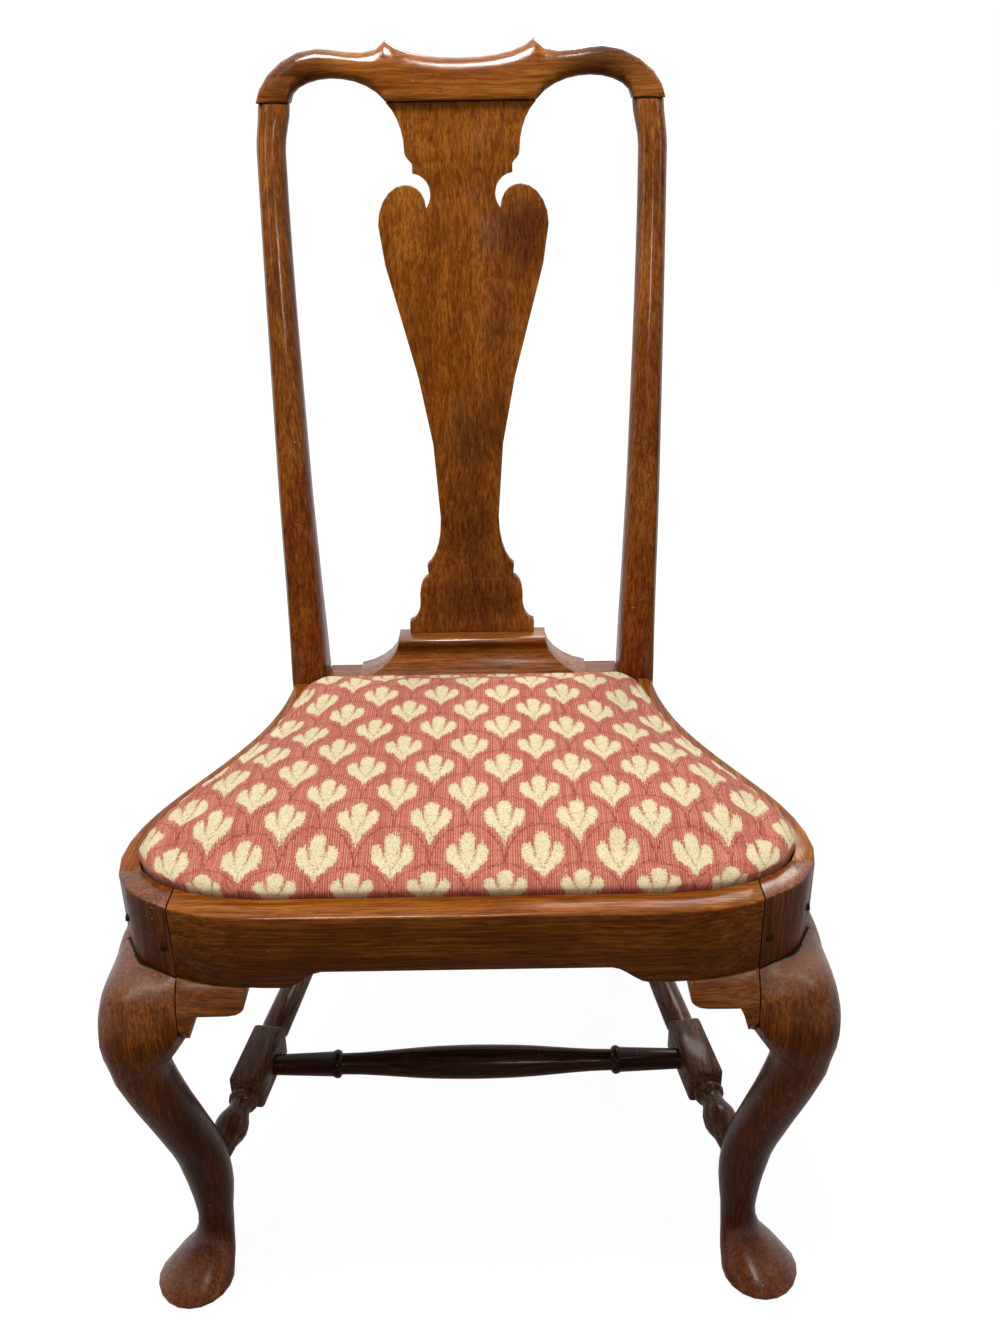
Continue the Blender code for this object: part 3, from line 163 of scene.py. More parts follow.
def makeCamera(look):
    yaw, pitch, roll = (math.radians(look[key]) for key in ("yaw", "pitch", "roll"))
    level = Vector((math.cos(yaw), math.sin(yaw), 0))
    ahead = Vector((-math.sin(yaw) * math.cos(pitch), math.cos(yaw) * math.cos(pitch), -math.sin(pitch)))
    upright = level.cross(ahead)
    right = math.cos(roll) * level + math.sin(roll) * upright
    top = math.cos(roll) * upright - math.sin(roll) * level
    data = bpy.data.cameras.new("camera")
    data.sensor_width = look["sensor"]
    data.lens = look["sensor"] * look["focal"] / look["pictureHeight"]
    data.dof.use_dof = False
    eye = bpy.data.objects.new("camera", data)
    scene.collection.objects.link(eye)
    turn = Matrix((right, top, -ahead)).transposed().to_4x4()
    eye.matrix_world = Matrix.Translation(Vector(look["place"])) @ turn
    scene.camera = eye


makeCamera(cameraLook)
print("camera set")


# White room, pale floor and soft lamps

roomLook = {
    "light": (0.15, 0.152, 0.158), "white": (1.0, 1.0, 1.0), "frontLow": -0.35, "frontHigh": 0.45,
    "floor": (0.86, 0.86, 0.85), "bounce": (0.22, 0.21, 0.20), "floorSize": 12.0,
    "glowShare": 0.90, "glow": 1.06, "shadeNear": 0.6, "shadeFar": 2.2,
}
lampLooks = {
    "ceilingLamp": {
        "place": (-0.32, -0.42, 2.55), "aim": (0.0, 0.0, 0.42), "size": (0.70, 0.50), "power": 43.0,
    },
    "leftStrip": {"place": (-1.10, -1.00, 1.80), "aim": (0.0, 0.1, 0.75), "size": (0.10, 1.2), "power": 4.0},
    "rightStrip": {"place": (1.30, -0.80, 1.75), "aim": (0.0, 0.1, 0.75), "size": (0.10, 1.0), "power": 3.0},
    "frontFill": {"place": (0.35, -2.30, 1.60), "aim": (0.0, 0.0, 0.45), "size": (0.32, 0.26), "power": 7.0},
    "rearLamp": {"place": (0.55, 1.75, 2.10), "aim": (0.0, 0.2, 0.60), "size": (1.0, 0.8), "power": 20.0},
}


def seenWhite(wire, gloss=1.0):  # 1 for rays that look at the background, 0 for those that carry light
    path = wire.node("LightPath")
    outs = path.socket.node.outputs
    straight, glossy, through = (
        Wire(wire.tree, outs[name]) for name in ("Is Camera Ray", "Is Glossy Ray", "Is Transmission Ray")
    )
    return straight.most(glossy * gloss).most(through)


def makeRoom(look):
    world = bpy.data.worlds.new("room")
    world.use_nodes = True
    tree = world.node_tree
    wire = Wire(tree)
    back = tree.nodes["Background"]
    _, toBack, _ = wire.node("TexCoord", out="Generated").parts()
    # White behind the chair, dim towards its front
    backdrop = toBack.ramp(look["frontLow"], look["frontHigh"])
    colour = seenWhite(wire, backdrop).over(look["light"], look["white"])
    tree.links.new(colour.socket, back.inputs["Color"])
    back.inputs["Strength"].default_value = 1.0
    scene.world = world
    reach = look["floorSize"] / 2
    mesh = bpy.data.meshes.new("floor")
    corners = [(-reach, -reach, 0), (reach, -reach, 0), (reach, reach, 0), (-reach, reach, 0)]
    mesh.from_pydata(corners, [], [(0, 1, 2, 3)])
    floor = bpy.data.objects.new("floor", mesh)
    scene.collection.objects.link(floor)
    finish, wire, shader = newFinish("floor paper", {"Roughness": 0.9, "Specular IOR Level": 0.0})
    seen = seenWhite(wire)
    feed(wire, shader, {"Base Color": seen.over(look["bounce"], look["floor"])})
    glow = wire.node("Emission", {}, {"Color": paint(look["white"]), "Strength": look["glow"]})
    x, y, _ = wire.node("TexCoord", out="Object").parts()
    # Plain white far from the chair
    away = ((x * x + y * y) ** 0.5).ramp(look["shadeNear"], look["shadeFar"])
    share = seen * (look["glowShare"] + away * (1 - look["glowShare"]))
    shade = wire.node("MixShader", {}, {0: share, 1: Wire(wire.tree, shader.outputs[0]), 2: glow})
    wire.tree.links.new(shade.socket, wire.tree.nodes["Material Output"].inputs["Surface"])
    mesh.materials.append(finish)


def makeLamps(looks):
    for name, look in looks.items():
        data = bpy.data.lights.new(name, "AREA")
        data.shape = "RECTANGLE"
        data.size, data.size_y = look["size"]
        data.energy = look["power"]
        lamp = bpy.data.objects.new(name, data)
        scene.collection.objects.link(lamp)
        lamp.location = look["place"]
        toward = Vector(look["aim"]) - lamp.location
        lamp.rotation_euler = toward.to_track_quat("-Z", "Y").to_euler()


makeRoom(roomLook)
makeLamps(lampLooks)
scene.view_settings.view_transform = "Standard"
print("room and lamps set")


# Polished wood

woodBase = {
    "grain": "z", "dark": (0.115, 0.026, 0.003), "middle": (0.235, 0.065, 0.007),
    "light": (0.350, 0.115, 0.015), "pore": (0.050, 0.012, 0.002), "pores": 0.62, "rough": 0.30,
    "worn": (0.42, 0.16, 0.040), "wear": 0.55, "coat": 0.50, "blur": 0.16, "coatIor": 1.5,
    "specular": 0.03, "facing": (0.05, 0.8), "nicks": 0.5, "nickColour": (0.55, 0.37, 0.25),
    "grey": (0.24, 0.165, 0.12), "dirtAndShadow": (0.012, 0.005, 0.002), "patches": (), "shade": (), "dustAndSheen": (),
    "lines": (),
}
woodNoises = {  # scale per metre (across and along the grain, or in x, y and z), detail, roughness and shift
    "figure": ((60.0, 2.2), 2.0, 0.5),
    "stripe": ((320.0, 8.0), 3.0, 0.55, (3, 5, 7)),
    "longPore": ((700.0, 34.0), 2.0, 0.55, (2, 8, 6)),
    "shortPore": ((1400.0, 110.0), 1.0, 0.5, (7, 3, 1)),
    "cloud": ((11.0, 11.0, 8.0), 3.0, 0.55, (9, 1, 4)),
    "rub": ((60.0, 60.0, 60.0), 3.0, 0.65),
    "speck": ((420.0, 420.0, 420.0), 1.0, 0.4, (1, 2, 3)),
    "knock": ((230.0, 230.0, 520.0), 1.0, 0.5, (5, 5, 2)),
    "knockPlace": ((13.0, 13.0, 13.0), 1.0, 0.5, (8, 4, 2)),
    "wave": ((26.0, 26.0, 26.0), 2.0, 0.5),
}
woodRanges = {  # the level at which a mark starts, and the level at which it is full
    "tone": (0.34, 0.66), "longPore": (0.43, 0.60), "shortPore": (0.48, 0.64), "patch": (0.25, 1.0),
    "edge": (0.02, 0.16), "rub": (0.40, 0.66), "dustAndSheen": (0.38, 0.62), "speck": (0.735, 0.78),
    "knock": (0.75, 0.79), "knockPlace": (0.50, 0.60),
}
woodShares = {
    "figure": 0.26, "stripe": 0.46, "cloud": 0.28, "longPore": 0.75, "shortPore": 0.35, "ragged": 0.9,
    "speck": 0.75, "cloudRough": 0.16, "poreRough": 0.10, "rubRough": 0.08, "poreDull": 0.3,
    "waveHigh": 0.8, "poreDeep": 0.16, "speckDeep": 0.3, "nickDeep": 0.3,
}
woodDetail = {
    "wander": 9.0, "bend": 0.010, "edge": 0.0028, "edgeSamples": 4, "dustFade": 0.022, "dustTurn": 0.5,
    "fade": 0.001, "lineCore": 0.4, "bump": 0.45, "depth": 0.0005,
}


def woodNoise(here, name, grain=None):
    scale, *rest = woodNoises[name]
    if grain:  # drawn out along the grain
        across, along = scale
        scale = tuple(along if axis == grain else across for axis in "xyz")
    return here.noise(scale, *rest)


def grainColour(here, cloud, look):
    drift = here.node("TexNoise", {}, {"Vector": here, "Scale": woodDetail["wander"], "Detail": 1.0}, "Color")
    pull = here.node("VectorMath", {"operation": "SUBTRACT"}, {0: drift, 1: (0.5, 0.5, 0.5)})
    bend = (woodDetail["bend"],) * 3
    bent = here.node("VectorMath", {"operation": "MULTIPLY_ADD"}, {0: pull, 1: bend, 2: here})
    figure, stripe, long, short = (
        woodNoise(bent, name, look["grain"]) for name in ("figure", "stripe", "longPore", "shortPore")
    )
    tone = figure * woodShares["figure"] + stripe * woodShares["stripe"] + cloud * woodShares["cloud"]
    tone = tone.ramp(*woodRanges["tone"])
    stops = ((0.0, look["dark"]), (0.5, look["middle"]), (1.0, look["light"]))
    colour = tone.node("ValToRGB", {"stops": stops}, {0: tone})
    pore = long.ramp(*woodRanges["longPore"]) * woodShares["longPore"]
    pore = pore + short.ramp(*woodRanges["shortPore"]) * woodShares["shortPore"]
    return (pore * look["pores"]).over(colour, look["pore"]), pore


def stainedAndShaded(colour, here, axes, cloud, look):
    for centre, reach, tint, share in look["patches"]:  # soft patches: stains and a darker foot on the splat, and painted shade at the crest's ends
        gap = here.node("VectorMath", {"operation": "SUBTRACT"}, {0: here, 1: centre})
        near = here.node("VectorMath", {"operation": "DIVIDE"}, {0: gap, 1: reach})
        far = here.node("VectorMath", {"operation": "LENGTH"}, {0: near}, "Value")
        ragged = far + (cloud - 0.5) * woodShares["ragged"]
        colour = ((1.0 - ragged.ramp(*woodRanges["patch"])) * share).tinted(colour, tint)
    for axis, start, end, tint in look["shade"]:  # tints that thicken from start to end: painted light on tops and feet, painted shade on the leg blocks, and lower legs and posts darker
        colour = axes[axis].ramp(start, end).tinted(colour, tint)
    return colour


def rubbedEdges(here, face):
    rounded = here.node("Bevel", {"samples": woodDetail["edgeSamples"]}, {"Radius": woodDetail["edge"]})
    turn = here.node("VectorMath", {"operation": "DOT_PRODUCT"}, {0: rounded, 1: face}, "Value")
    return (1.0 - turn).ramp(*woodRanges["edge"]) * woodNoise(here, "rub").ramp(*woodRanges["rub"])


def settledDustAndSheen(z, upward, cloud, look):  # grey dust, which also stands in as a painted sheen, on what faces up, between two levels
    grey = z * 0.0
    for low, high, facing, share in look["dustAndSheen"]:
        band = z.ramp(low, low + woodDetail["dustFade"]) * (1.0 - z.ramp(high - woodDetail["fade"], high))
        band = band * upward.ramp(facing, facing + woodDetail["dustTurn"])
        grey = grey.most(band * share * cloud.ramp(*woodRanges["dustAndSheen"]))
    return grey


def jointDirtAndShadow(axes, look):  # dark lines in the joints, and a painted shadow line under the rail, between two levels
    z, fade = axes["z"], woodDetail["fade"]
    dirtAndShadow = z * 0.0
    for axis, at, half, low, high in look["lines"]:
        mark = 1.0 - abs(axes[axis] - at).ramp(half * woodDetail["lineCore"], half)
        dirtAndShadow = dirtAndShadow.most(mark * z.ramp(low, low + fade) * (1.0 - z.ramp(high - fade, high)))
    return dirtAndShadow


def woodFinish(name, changes):
    look = {**woodBase, **changes}
    fixed = {
        "Specular IOR Level": look["specular"], "Coat Roughness": look["blur"], "Coat IOR": look["coatIor"],
    }
    finish, wire, shader = newFinish(name, fixed)
    here = wire.node("TexCoord", out="Object")
    x, y, z = here.parts()
    axes = {"x": x, "y": y, "z": z, "absX": abs(x)}
    face = here.node("NewGeometry", out="Normal")
    _, _, upward = face.parts()
    cloud = woodNoise(here, "cloud")
    colour, pore = grainColour(here, cloud, look)
    colour = stainedAndShaded(colour, here, axes, cloud, look)
    rub = rubbedEdges(here, face)
    colour = (rub * look["wear"]).over(colour, look["worn"])
    grey = settledDustAndSheen(z, upward, cloud, look)
    colour = grey.over(colour, look["grey"])
    dirtAndShadow = jointDirtAndShadow(axes, look)
    colour = dirtAndShadow.over(colour, look["dirtAndShadow"])
    speck = woodNoise(here, "speck").ramp(*woodRanges["speck"])
    colour = (speck * woodShares["speck"]).over(colour, look["pore"])
    nick = woodNoise(here, "knock").ramp(*woodRanges["knock"])
    nick = nick * woodNoise(here, "knockPlace").ramp(*woodRanges["knockPlace"])
    colour = (nick * look["nicks"]).over(colour, look["nickColour"])
    rough = look["rough"] + (cloud - 0.5) * woodShares["cloudRough"]
    rough = rough + pore * woodShares["poreRough"] + rub * woodShares["rubRough"]
    polish = upward.ramp(*look["facing"]) * (1.0 - pore * woodShares["poreDull"])
    polish = polish * (1.0 - grey.most(dirtAndShadow)) * look["coat"]
    height = woodNoise(here, "wave") * woodShares["waveHigh"] - pore * woodShares["poreDeep"]
    height = height - speck * woodShares["speckDeep"] - nick * woodShares["nickDeep"]
    sockets = {"Strength": woodDetail["bump"], "Distance": woodDetail["depth"], "Height": height}
    bump = here.node("Bump", {}, sockets)
    feed(wire, shader, {"Base Color": colour, "Roughness": rough, "Coat Weight": polish, "Normal": bump})
    return finish


splatPatches = (  # middle, reach, tint and share
    ((0.062, 0.235, 0.845), (0.034, 0.06, 0.075), (0.52, 0.44, 0.90), 0.95),
    ((0.035, 0.215, 0.76), (0.020, 0.06, 0.13), (0.60, 0.54, 0.85), 0.8),
    ((0.004, 0.185, 0.665), (0.034, 0.05, 0.050), (0.58, 0.62, 1.2), 0.7),
    ((0.0, 0.175, 0.56), (0.070, 0.06, 0.12), (0.52, 0.47, 0.45), 0.9),
    ((0.0, 0.165, 0.49), (0.080, 0.05, 0.045), (0.52, 0.45, 0.6), 0.8),
)
# The crest's ends painted darker, as painted shade
crestPaintedShade = (
    ((-0.150, 0.26, 0.99), (0.055, 0.06, 0.05), (0.40, 0.38, 0.50), 0.85),
    ((0.135, 0.26, 0.995), (0.075, 0.06, 0.05), (0.32, 0.32, 0.50), 0.9),
)
# Tops painted lighter: painted light, with some paler worn finish
paintedLightTop = ("z", 0.4186, 0.4204, (1.75, 1.80, 1.60))  # axis, start, end and tint
# The leg's block above the knee painted darker, as painted shade
paintedShadeBlock = ("z", 0.3560, 0.3585, (0.66, 0.62, 0.60))
# The legs darker from the knee down towards the foot
lowerLegDarker = ("z", 0.345, 0.110, (0.50, 0.43, 0.42))
# The feet painted lighter, as a painted sheen
paintedSheenFoot = ("z", 0.060, 0.022, (2.15, 2.25, 2.20))
dimPost = ("z", 0.66, 0.46, (0.84, 0.68, 0.50))
# Grey on the ledge under the rail: dust, and a painted sheen
kneeDustAndSheen = (0.330, 0.3575, 0.3, 0.28)  # low, high, facing and share
# Grey on the foot tops: dust, and a painted sheen
footDustAndSheen = (-0.030, 0.045, 0.50, 0.45)
crestLine = ("z", 0.9643, 0.0007, 0.5, 1.1)  # axis, place, half width, low and high
postLine = ("z", 0.9640, 0.0007, 0.5, 1.1)
blockLine = ("absX", 0.2216, 0.0008, 0.3572, 0.43)
kneeLine = ("absX", 0.2216, 0.0008, 0.285, 0.3572)
# A painted shadow line where the knee meets the rail's underside
shadowLineUnderRail = ("z", 0.3573, 0.0010, 0.30, 0.40)
woodLooks = {
    "crest polish": {
        "grain": "x", "dark": (0.140, 0.034, 0.004), "middle": (0.290, 0.086, 0.011),
        "light": (0.400, 0.138, 0.022), "pores": 0.5, "coat": 0.9, "blur": 0.19, "coatIor": 1.7,
        "lines": (crestLine,), "patches": crestPaintedShade,
    },
    "splat polish": {
        "patches": splatPatches, "dark": (0.138, 0.035, 0.004), "middle": (0.265, 0.079, 0.008),
        "light": (0.378, 0.129, 0.016), "pore": (0.062, 0.014, 0.002), "wear": 0.25, "rough": 0.36,
        "coat": 0.35, "nicks": 0.1,
    },
    "shoe polish": {
        "grain": "x", "dark": (0.130, 0.032, 0.004), "middle": (0.260, 0.078, 0.010),
        "light": (0.390, 0.135, 0.022), "coat": 0.8, "blur": 0.24, "coatIor": 1.8,
    },
    "post polish": {
        "lines": (postLine,), "coat": 0.40, "blur": 0.13, "facing": (-0.6, 0.5), "shade": (dimPost,),
    },
    # The front rail's colours are darkened as painted shade on its face, and its top is painted lighter
    "front rail polish": {
        "grain": "x", "dark": (0.080, 0.018, 0.002), "middle": (0.165, 0.044, 0.005),
        "light": (0.250, 0.080, 0.010), "pore": (0.034, 0.008, 0.001), "lines": (blockLine,), "wear": 0.8,
        "shade": (paintedLightTop,), "coat": 0.32, "nicks": 0.25,
    },
    "side rail polish": {
        "grain": "y", "dark": (0.090, 0.021, 0.002), "middle": (0.185, 0.050, 0.006),
        "light": (0.275, 0.090, 0.012), "shade": (paintedLightTop,), "coat": 0.35,
    },
    "rear rail polish": {"grain": "x"},
    "leg polish": {
        "dark": (0.082, 0.016, 0.002), "middle": (0.180, 0.043, 0.005), "light": (0.280, 0.081, 0.010),
        "pores": 0.75, "lines": (blockLine, kneeLine, shadowLineUnderRail),
        "shade": (paintedShadeBlock, paintedLightTop, lowerLegDarker, paintedSheenFoot), "dustAndSheen": (kneeDustAndSheen, footDustAndSheen), "coat": 0.6,
        "blur": 0.27, "coatIor": 1.9, "nicks": 0.9,
    },
    "front bracket polish": {
        "grain": "x", "dark": (0.100, 0.021, 0.003), "middle": (0.205, 0.052, 0.006),
        "light": (0.310, 0.095, 0.012), "lines": (kneeLine,), "dustAndSheen": (kneeDustAndSheen,), "coat": 0.6,
        "blur": 0.27, "coatIor": 1.9,
    },
    "side bracket polish": {
        "grain": "y", "dark": (0.100, 0.021, 0.003), "middle": (0.205, 0.052, 0.006),
        "light": (0.310, 0.095, 0.012), "dustAndSheen": (kneeDustAndSheen,), "coat": 0.6, "blur": 0.27,
    },
    "side stretcher polish": {
        "grain": "y", "dark": (0.055, 0.021, 0.012), "middle": (0.160, 0.064, 0.034),
        "light": (0.270, 0.125, 0.072), "pore": (0.020, 0.008, 0.005), "worn": (0.28, 0.14, 0.085),
        "rough": 0.40, "coat": 0.30,
    },
    "cross stretcher polish": {
        "grain": "x", "dark": (0.018, 0.005, 0.002), "middle": (0.045, 0.013, 0.005),
        "light": (0.090, 0.030, 0.013), "pore": (0.010, 0.003, 0.001), "worn": (0.14, 0.055, 0.028),
        "rough": 0.40, "coat": 0.30,
    },
    "pin end": {
        "dark": (0.014, 0.004, 0.001), "middle": (0.032, 0.010, 0.002), "light": (0.070, 0.022, 0.005),
        "rough": 0.45, "coat": 0.1, "wear": 0.0, "nicks": 0.0,
    },
    "slip frame across": {
        "grain": "x", "dark": (0.22, 0.12, 0.05), "middle": (0.40, 0.25, 0.12),
        "light": (0.55, 0.38, 0.21), "pore": (0.16, 0.08, 0.03), "pores": 0.35,
        "worn": (0.60, 0.44, 0.26), "rough": 0.72, "coat": 0.0, "nicks": 0.0,
    },
}
woodLooks["slip frame along"] = {**woodLooks["slip frame across"], "grain": "y"}
woodNodes = {
    "crest polish": ("crest_rail",),
    "splat polish": ("splat",),
    "shoe polish": ("shoe",),
    "post polish": ("rear_post_left", "rear_post_right"),
    "front rail polish": ("front_seat_rail",),
    "side rail polish": ("side_rail_left", "side_rail_right"),
    "rear rail polish": ("rear_seat_rail",),
    "leg polish": ("front_leg_left", "front_leg_right"),
    "front bracket polish": ("knee_bracket_front_left", "knee_bracket_front_right"),
    "side bracket polish": ("knee_bracket_side_left", "knee_bracket_side_right"),
    "side stretcher polish": ("side_stretcher_left", "side_stretcher_right"),
    "cross stretcher polish": ("medial_stretcher", "rear_stretcher"),
    "pin end": tuple(
        f"pin_{place}_{side}" for place in ("front", "side", "rear") for side in ("left", "right")
    ),
    "slip frame across": ("slip_frame_front", "slip_frame_rear"),
    "slip frame along": ("slip_frame_left", "slip_frame_right"),
}
woodShape = {"weld": 0.00002, "round": 0.0006, "steps": 2, "crease": 40.0}


def smoothGroup(crease):  # shades smooth up to the crease angle
    group = bpy.data.node_groups.new("soft shading", "GeometryNodeTree")
    for way in ("INPUT", "OUTPUT"):
        group.interface.new_socket("Geometry", in_out=way, socket_type="NodeSocketGeometry")
    start = group.nodes.new("NodeGroupInput")
    end = group.nodes.new("NodeGroupOutput")
    angle = group.nodes.new("GeometryNodeInputMeshEdgeAngle")
    sharp = group.nodes.new("FunctionNodeCompare")
    sharp.operation = "GREATER_EQUAL"
    sharp.inputs[1].default_value = math.radians(crease)
    normals = group.nodes.new("GeometryNodeSetMeshNormal")
    normals.mode = "SHARPNESS"
    normals.inputs["Remove Custom"].default_value = True
    group.links.new(start.outputs[0], normals.inputs["Mesh"])
    group.links.new(angle.outputs["Unsigned Angle"], sharp.inputs[0])
    group.links.new(sharp.outputs[0], normals.inputs["Edge Sharpness"])
    group.links.new(normals.outputs[0], end.inputs[0])
    return group


shading = smoothGroup(woodShape["crease"])


def dressNode(name, finish):
    piece = nodes[name]
    mesh = piece.data
    mesh.materials.clear()
    mesh.materials.append(finish)
    weld = piece.modifiers.new("weld", "WELD")
    weld.merge_threshold = woodShape["weld"]
    rounding = piece.modifiers.new("eased edges", "BEVEL")
    rounding.width = woodShape["round"]
    rounding.segments = woodShape["steps"]
    rounding.limit_method = "ANGLE"
    rounding.angle_limit = math.radians(woodShape["crease"])
    rounding.use_clamp_overlap = True
    rounding.harden_normals = False
    soft = piece.modifiers.new("soft shading", "NODES")
    soft.node_group = shading


for finishName, names in woodNodes.items():
    finish = woodFinish(finishName, woodLooks[finishName])
    for name in names:
        dressNode(name, finish)
print("wood finished")


# Dark glue lines, which close the joints under the crest

glueLook = {
    "joint": 0.9636, "near": 0.0009, "level": 0.9626, "top": 0.9652, "inset": 0.0007,
    "colour": (0.020, 0.008, 0.004), "grime": (300.0, 300.0, 300.0), "grimeRange": (0.3, 0.7),
}
glueJoints = {
    "glue_crest_left": "rear_post_left", "glue_crest_right": "rear_post_right", "glue_crest_splat": "splat",
}


def newPiece(name, mesh, finish, body):
    piece = bpy.data.objects.new(name, mesh)
    scene.collection.objects.link(piece)
    mesh.materials.append(finish)
    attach(piece, body)
    return piece


def meshOf(name, work, smooth=True):
    mesh = bpy.data.meshes.new(name)
    for face in work.faces:
        face.smooth = smooth
    work.to_mesh(mesh)
    work.free()
    return mesh


def glueLine(name, node, look, finish):
    points = np.array([vertex.co for vertex in nodes[node].data.vertices])
    flat = points[np.abs(points[:, 2] - look["joint"]) < look["near"]][:, :2]
    middle = (flat.min(0) + flat.max(0)) / 2
    half = (flat.max(0) - flat.min(0)) / 2
    shrunk = middle + (flat - middle) * (1 - look["inset"] / half)
    work = bmesh.new()
    for x, y in np.unique(np.round(shrunk, 5), axis=0):
        for z in (look["level"], look["top"]):
            work.verts.new((x, y, z))
    hull = bmesh.ops.convex_hull(work, input=work.verts)
    spare = hull["geom_interior"] + hull["geom_unused"]
    loose = {item for item in spare if isinstance(item, bmesh.types.BMVert)}
    bmesh.ops.delete(work, geom=list(loose), context="VERTS")
    newPiece(name, meshOf(name, work, False), finish, "frame")


def glueFinish(look):
    finish, wire, shader = newFinish("old glue", {"Specular IOR Level": 0.05, "Roughness": 0.9})
    here = wire.node("TexCoord", out="Object")
    grime = here.noise(look["grime"], 2.0).ramp(*look["grimeRange"])
    feed(wire, shader, {"Base Color": grime.over(look["colour"], tuple(2 * part for part in look["colour"]))})
    return finish


glue = glueFinish(glueLook)
for name, node in glueJoints.items():
    glueLine(name, node, glueLook, glue)
print("glue lines made")


# Drop-in cushion: a smaller form is blown up as cloth, then cut open below and turned under

cushionLook = {
    "loopLevel": 0.4155, "around": 168, "middle": (0.0, -0.0575), "base": 0.4105, "wall": 0.4262,
    "shrink": 0.996, "top": 0.4270, "roll": 0.0125, "crown": 0.0110, "edgeShare": 0.90,
    "rollRings": (1.0, 0.995, 0.98, 0.96, 0.93), "topRings": (0.8, 0.65, 0.45, 0.25, 0.08),
    "voxel": 0.005, "pressure": 4.0, "frames": 20, "cap": 0.0060, "pinLow": 0.4215, "pinHigh": 0.4275,
    "cut": 0.4196, "merge": 0.0006, "softTop": 0.434, "softPasses": 4, "softShare": 0.5, "proud": 0.0014,
    "proudLow": 0.4205, "proudRun": 0.002, "clear": 0.4296, "cover": 0.4350, "coverStart": 0.002,
    "coverRun": 0.006, "finePoints": 1600, "turnStep": 8, "tightTurn": 0.18, "tightSpread": 61,
    "hemLevel": 0.4076, "hem": 0.0260, "hemCorner": 0.0110, "hemShares": (0.06, 0.5, 1.0),
    "bulge": 0.0012, "hemInset": 0.0002, "hemRound": 0.0008, "thick": 0.0011, "rear": 0.1276,
}
clothRules = {
    "quality": 6, "mass": 0.3, "tension_stiffness": 20, "compression_stiffness": 20, "shear_stiffness": 8,
    "bending_stiffness": 1.5, "use_pressure": True,
}
outlineWeld = 0.00001  # metres


def outlineOf(name, level):  # the outer loop where a level plane cuts a node
    work = bmesh.new()
    work.from_mesh(nodes[name].data)
    bmesh.ops.remove_doubles(work, verts=work.verts, dist=outlineWeld)
    geom = work.verts[:] + work.edges[:] + work.faces[:]
    cut = bmesh.ops.bisect_plane(work, geom=geom, plane_co=(0, 0, level), plane_no=(0, 0, 1))
    edges = {item for item in cut["geom_cut"] if isinstance(item, bmesh.types.BMEdge)}
    loops = []
    while edges:
        edge = edges.pop()
        loop = [edge.verts[0], edge.verts[1]]
        while True:
            step = next((item for item in loop[-1].link_edges if item in edges), None)
            if step is None:
                break
            edges.discard(step)
            loop.append(step.other_vert(loop[-1]))
        loops.append(np.array([vertex.co[:2] for vertex in loop]))
    work.free()
    return max(loops, key=lambda loop: np.ptp(loop[:, 0]))


def evenly(loop, count):  # the same closed loop, evenly spaced and counter-clockwise from its front
    ring = loop[:-1] if np.allclose(loop[0], loop[-1]) else loop
    after = np.roll(ring, -1, 0)
    if (ring[:, 0] * after[:, 1] - after[:, 0] * ring[:, 1]).sum() < 0:
        ring = ring[::-1]
    ring = np.roll(ring, -np.lexsort((ring[:, 0], ring[:, 1]))[0], 0)
    closed = np.vstack((ring, ring[:1]))
    run = np.concatenate(([0], np.cumsum(np.linalg.norm(np.diff(closed, axis=0), axis=1))))
    at = np.linspace(0, run[-1], count, endpoint=False)
    return np.column_stack((np.interp(at, run, closed[:, 0]), np.interp(at, run, closed[:, 1])))


def inwardOf(loop):
    along = np.roll(loop, -1, 0) - np.roll(loop, 1, 0)
    along /= np.linalg.norm(along, axis=1)[:, None]
    return np.column_stack((-along[:, 1], along[:, 0]))


def startForm(look, loop):
    middle = np.array(look["middle"])
    rings = [[(x, y, z) for x, y in loop] for z in (look["base"], look["wall"])]
    for share in (*look["rollRings"], look["edgeShare"], *look["topRings"]):
        roll = max((share - look["edgeShare"]) / (1 - look["edgeShare"]), 0)
        z = look["top"] + look["roll"] * math.sqrt(1 - roll * roll) + look["crown"] * (1 - share * share)
        rings.append([(x, y, z) for x, y in middle + (loop - middle) * share * look["shrink"]])
    work = bmesh.new()
    grid = [[work.verts.new(point) for point in ring] for ring in rings]
    for low, high in zip(grid, grid[1:]):
        for i, vertex in enumerate(low):
            j = (i + 1) % len(low)
            work.faces.new((vertex, low[j], high[j], high[i]))
    work.faces.new(grid[0][::-1])
    work.faces.new(grid[-1])
    return meshOf("cushion start", work)


def evaluated(piece):
    return bpy.data.meshes.new_from_object(piece.evaluated_get(bpy.context.evaluated_depsgraph_get()))


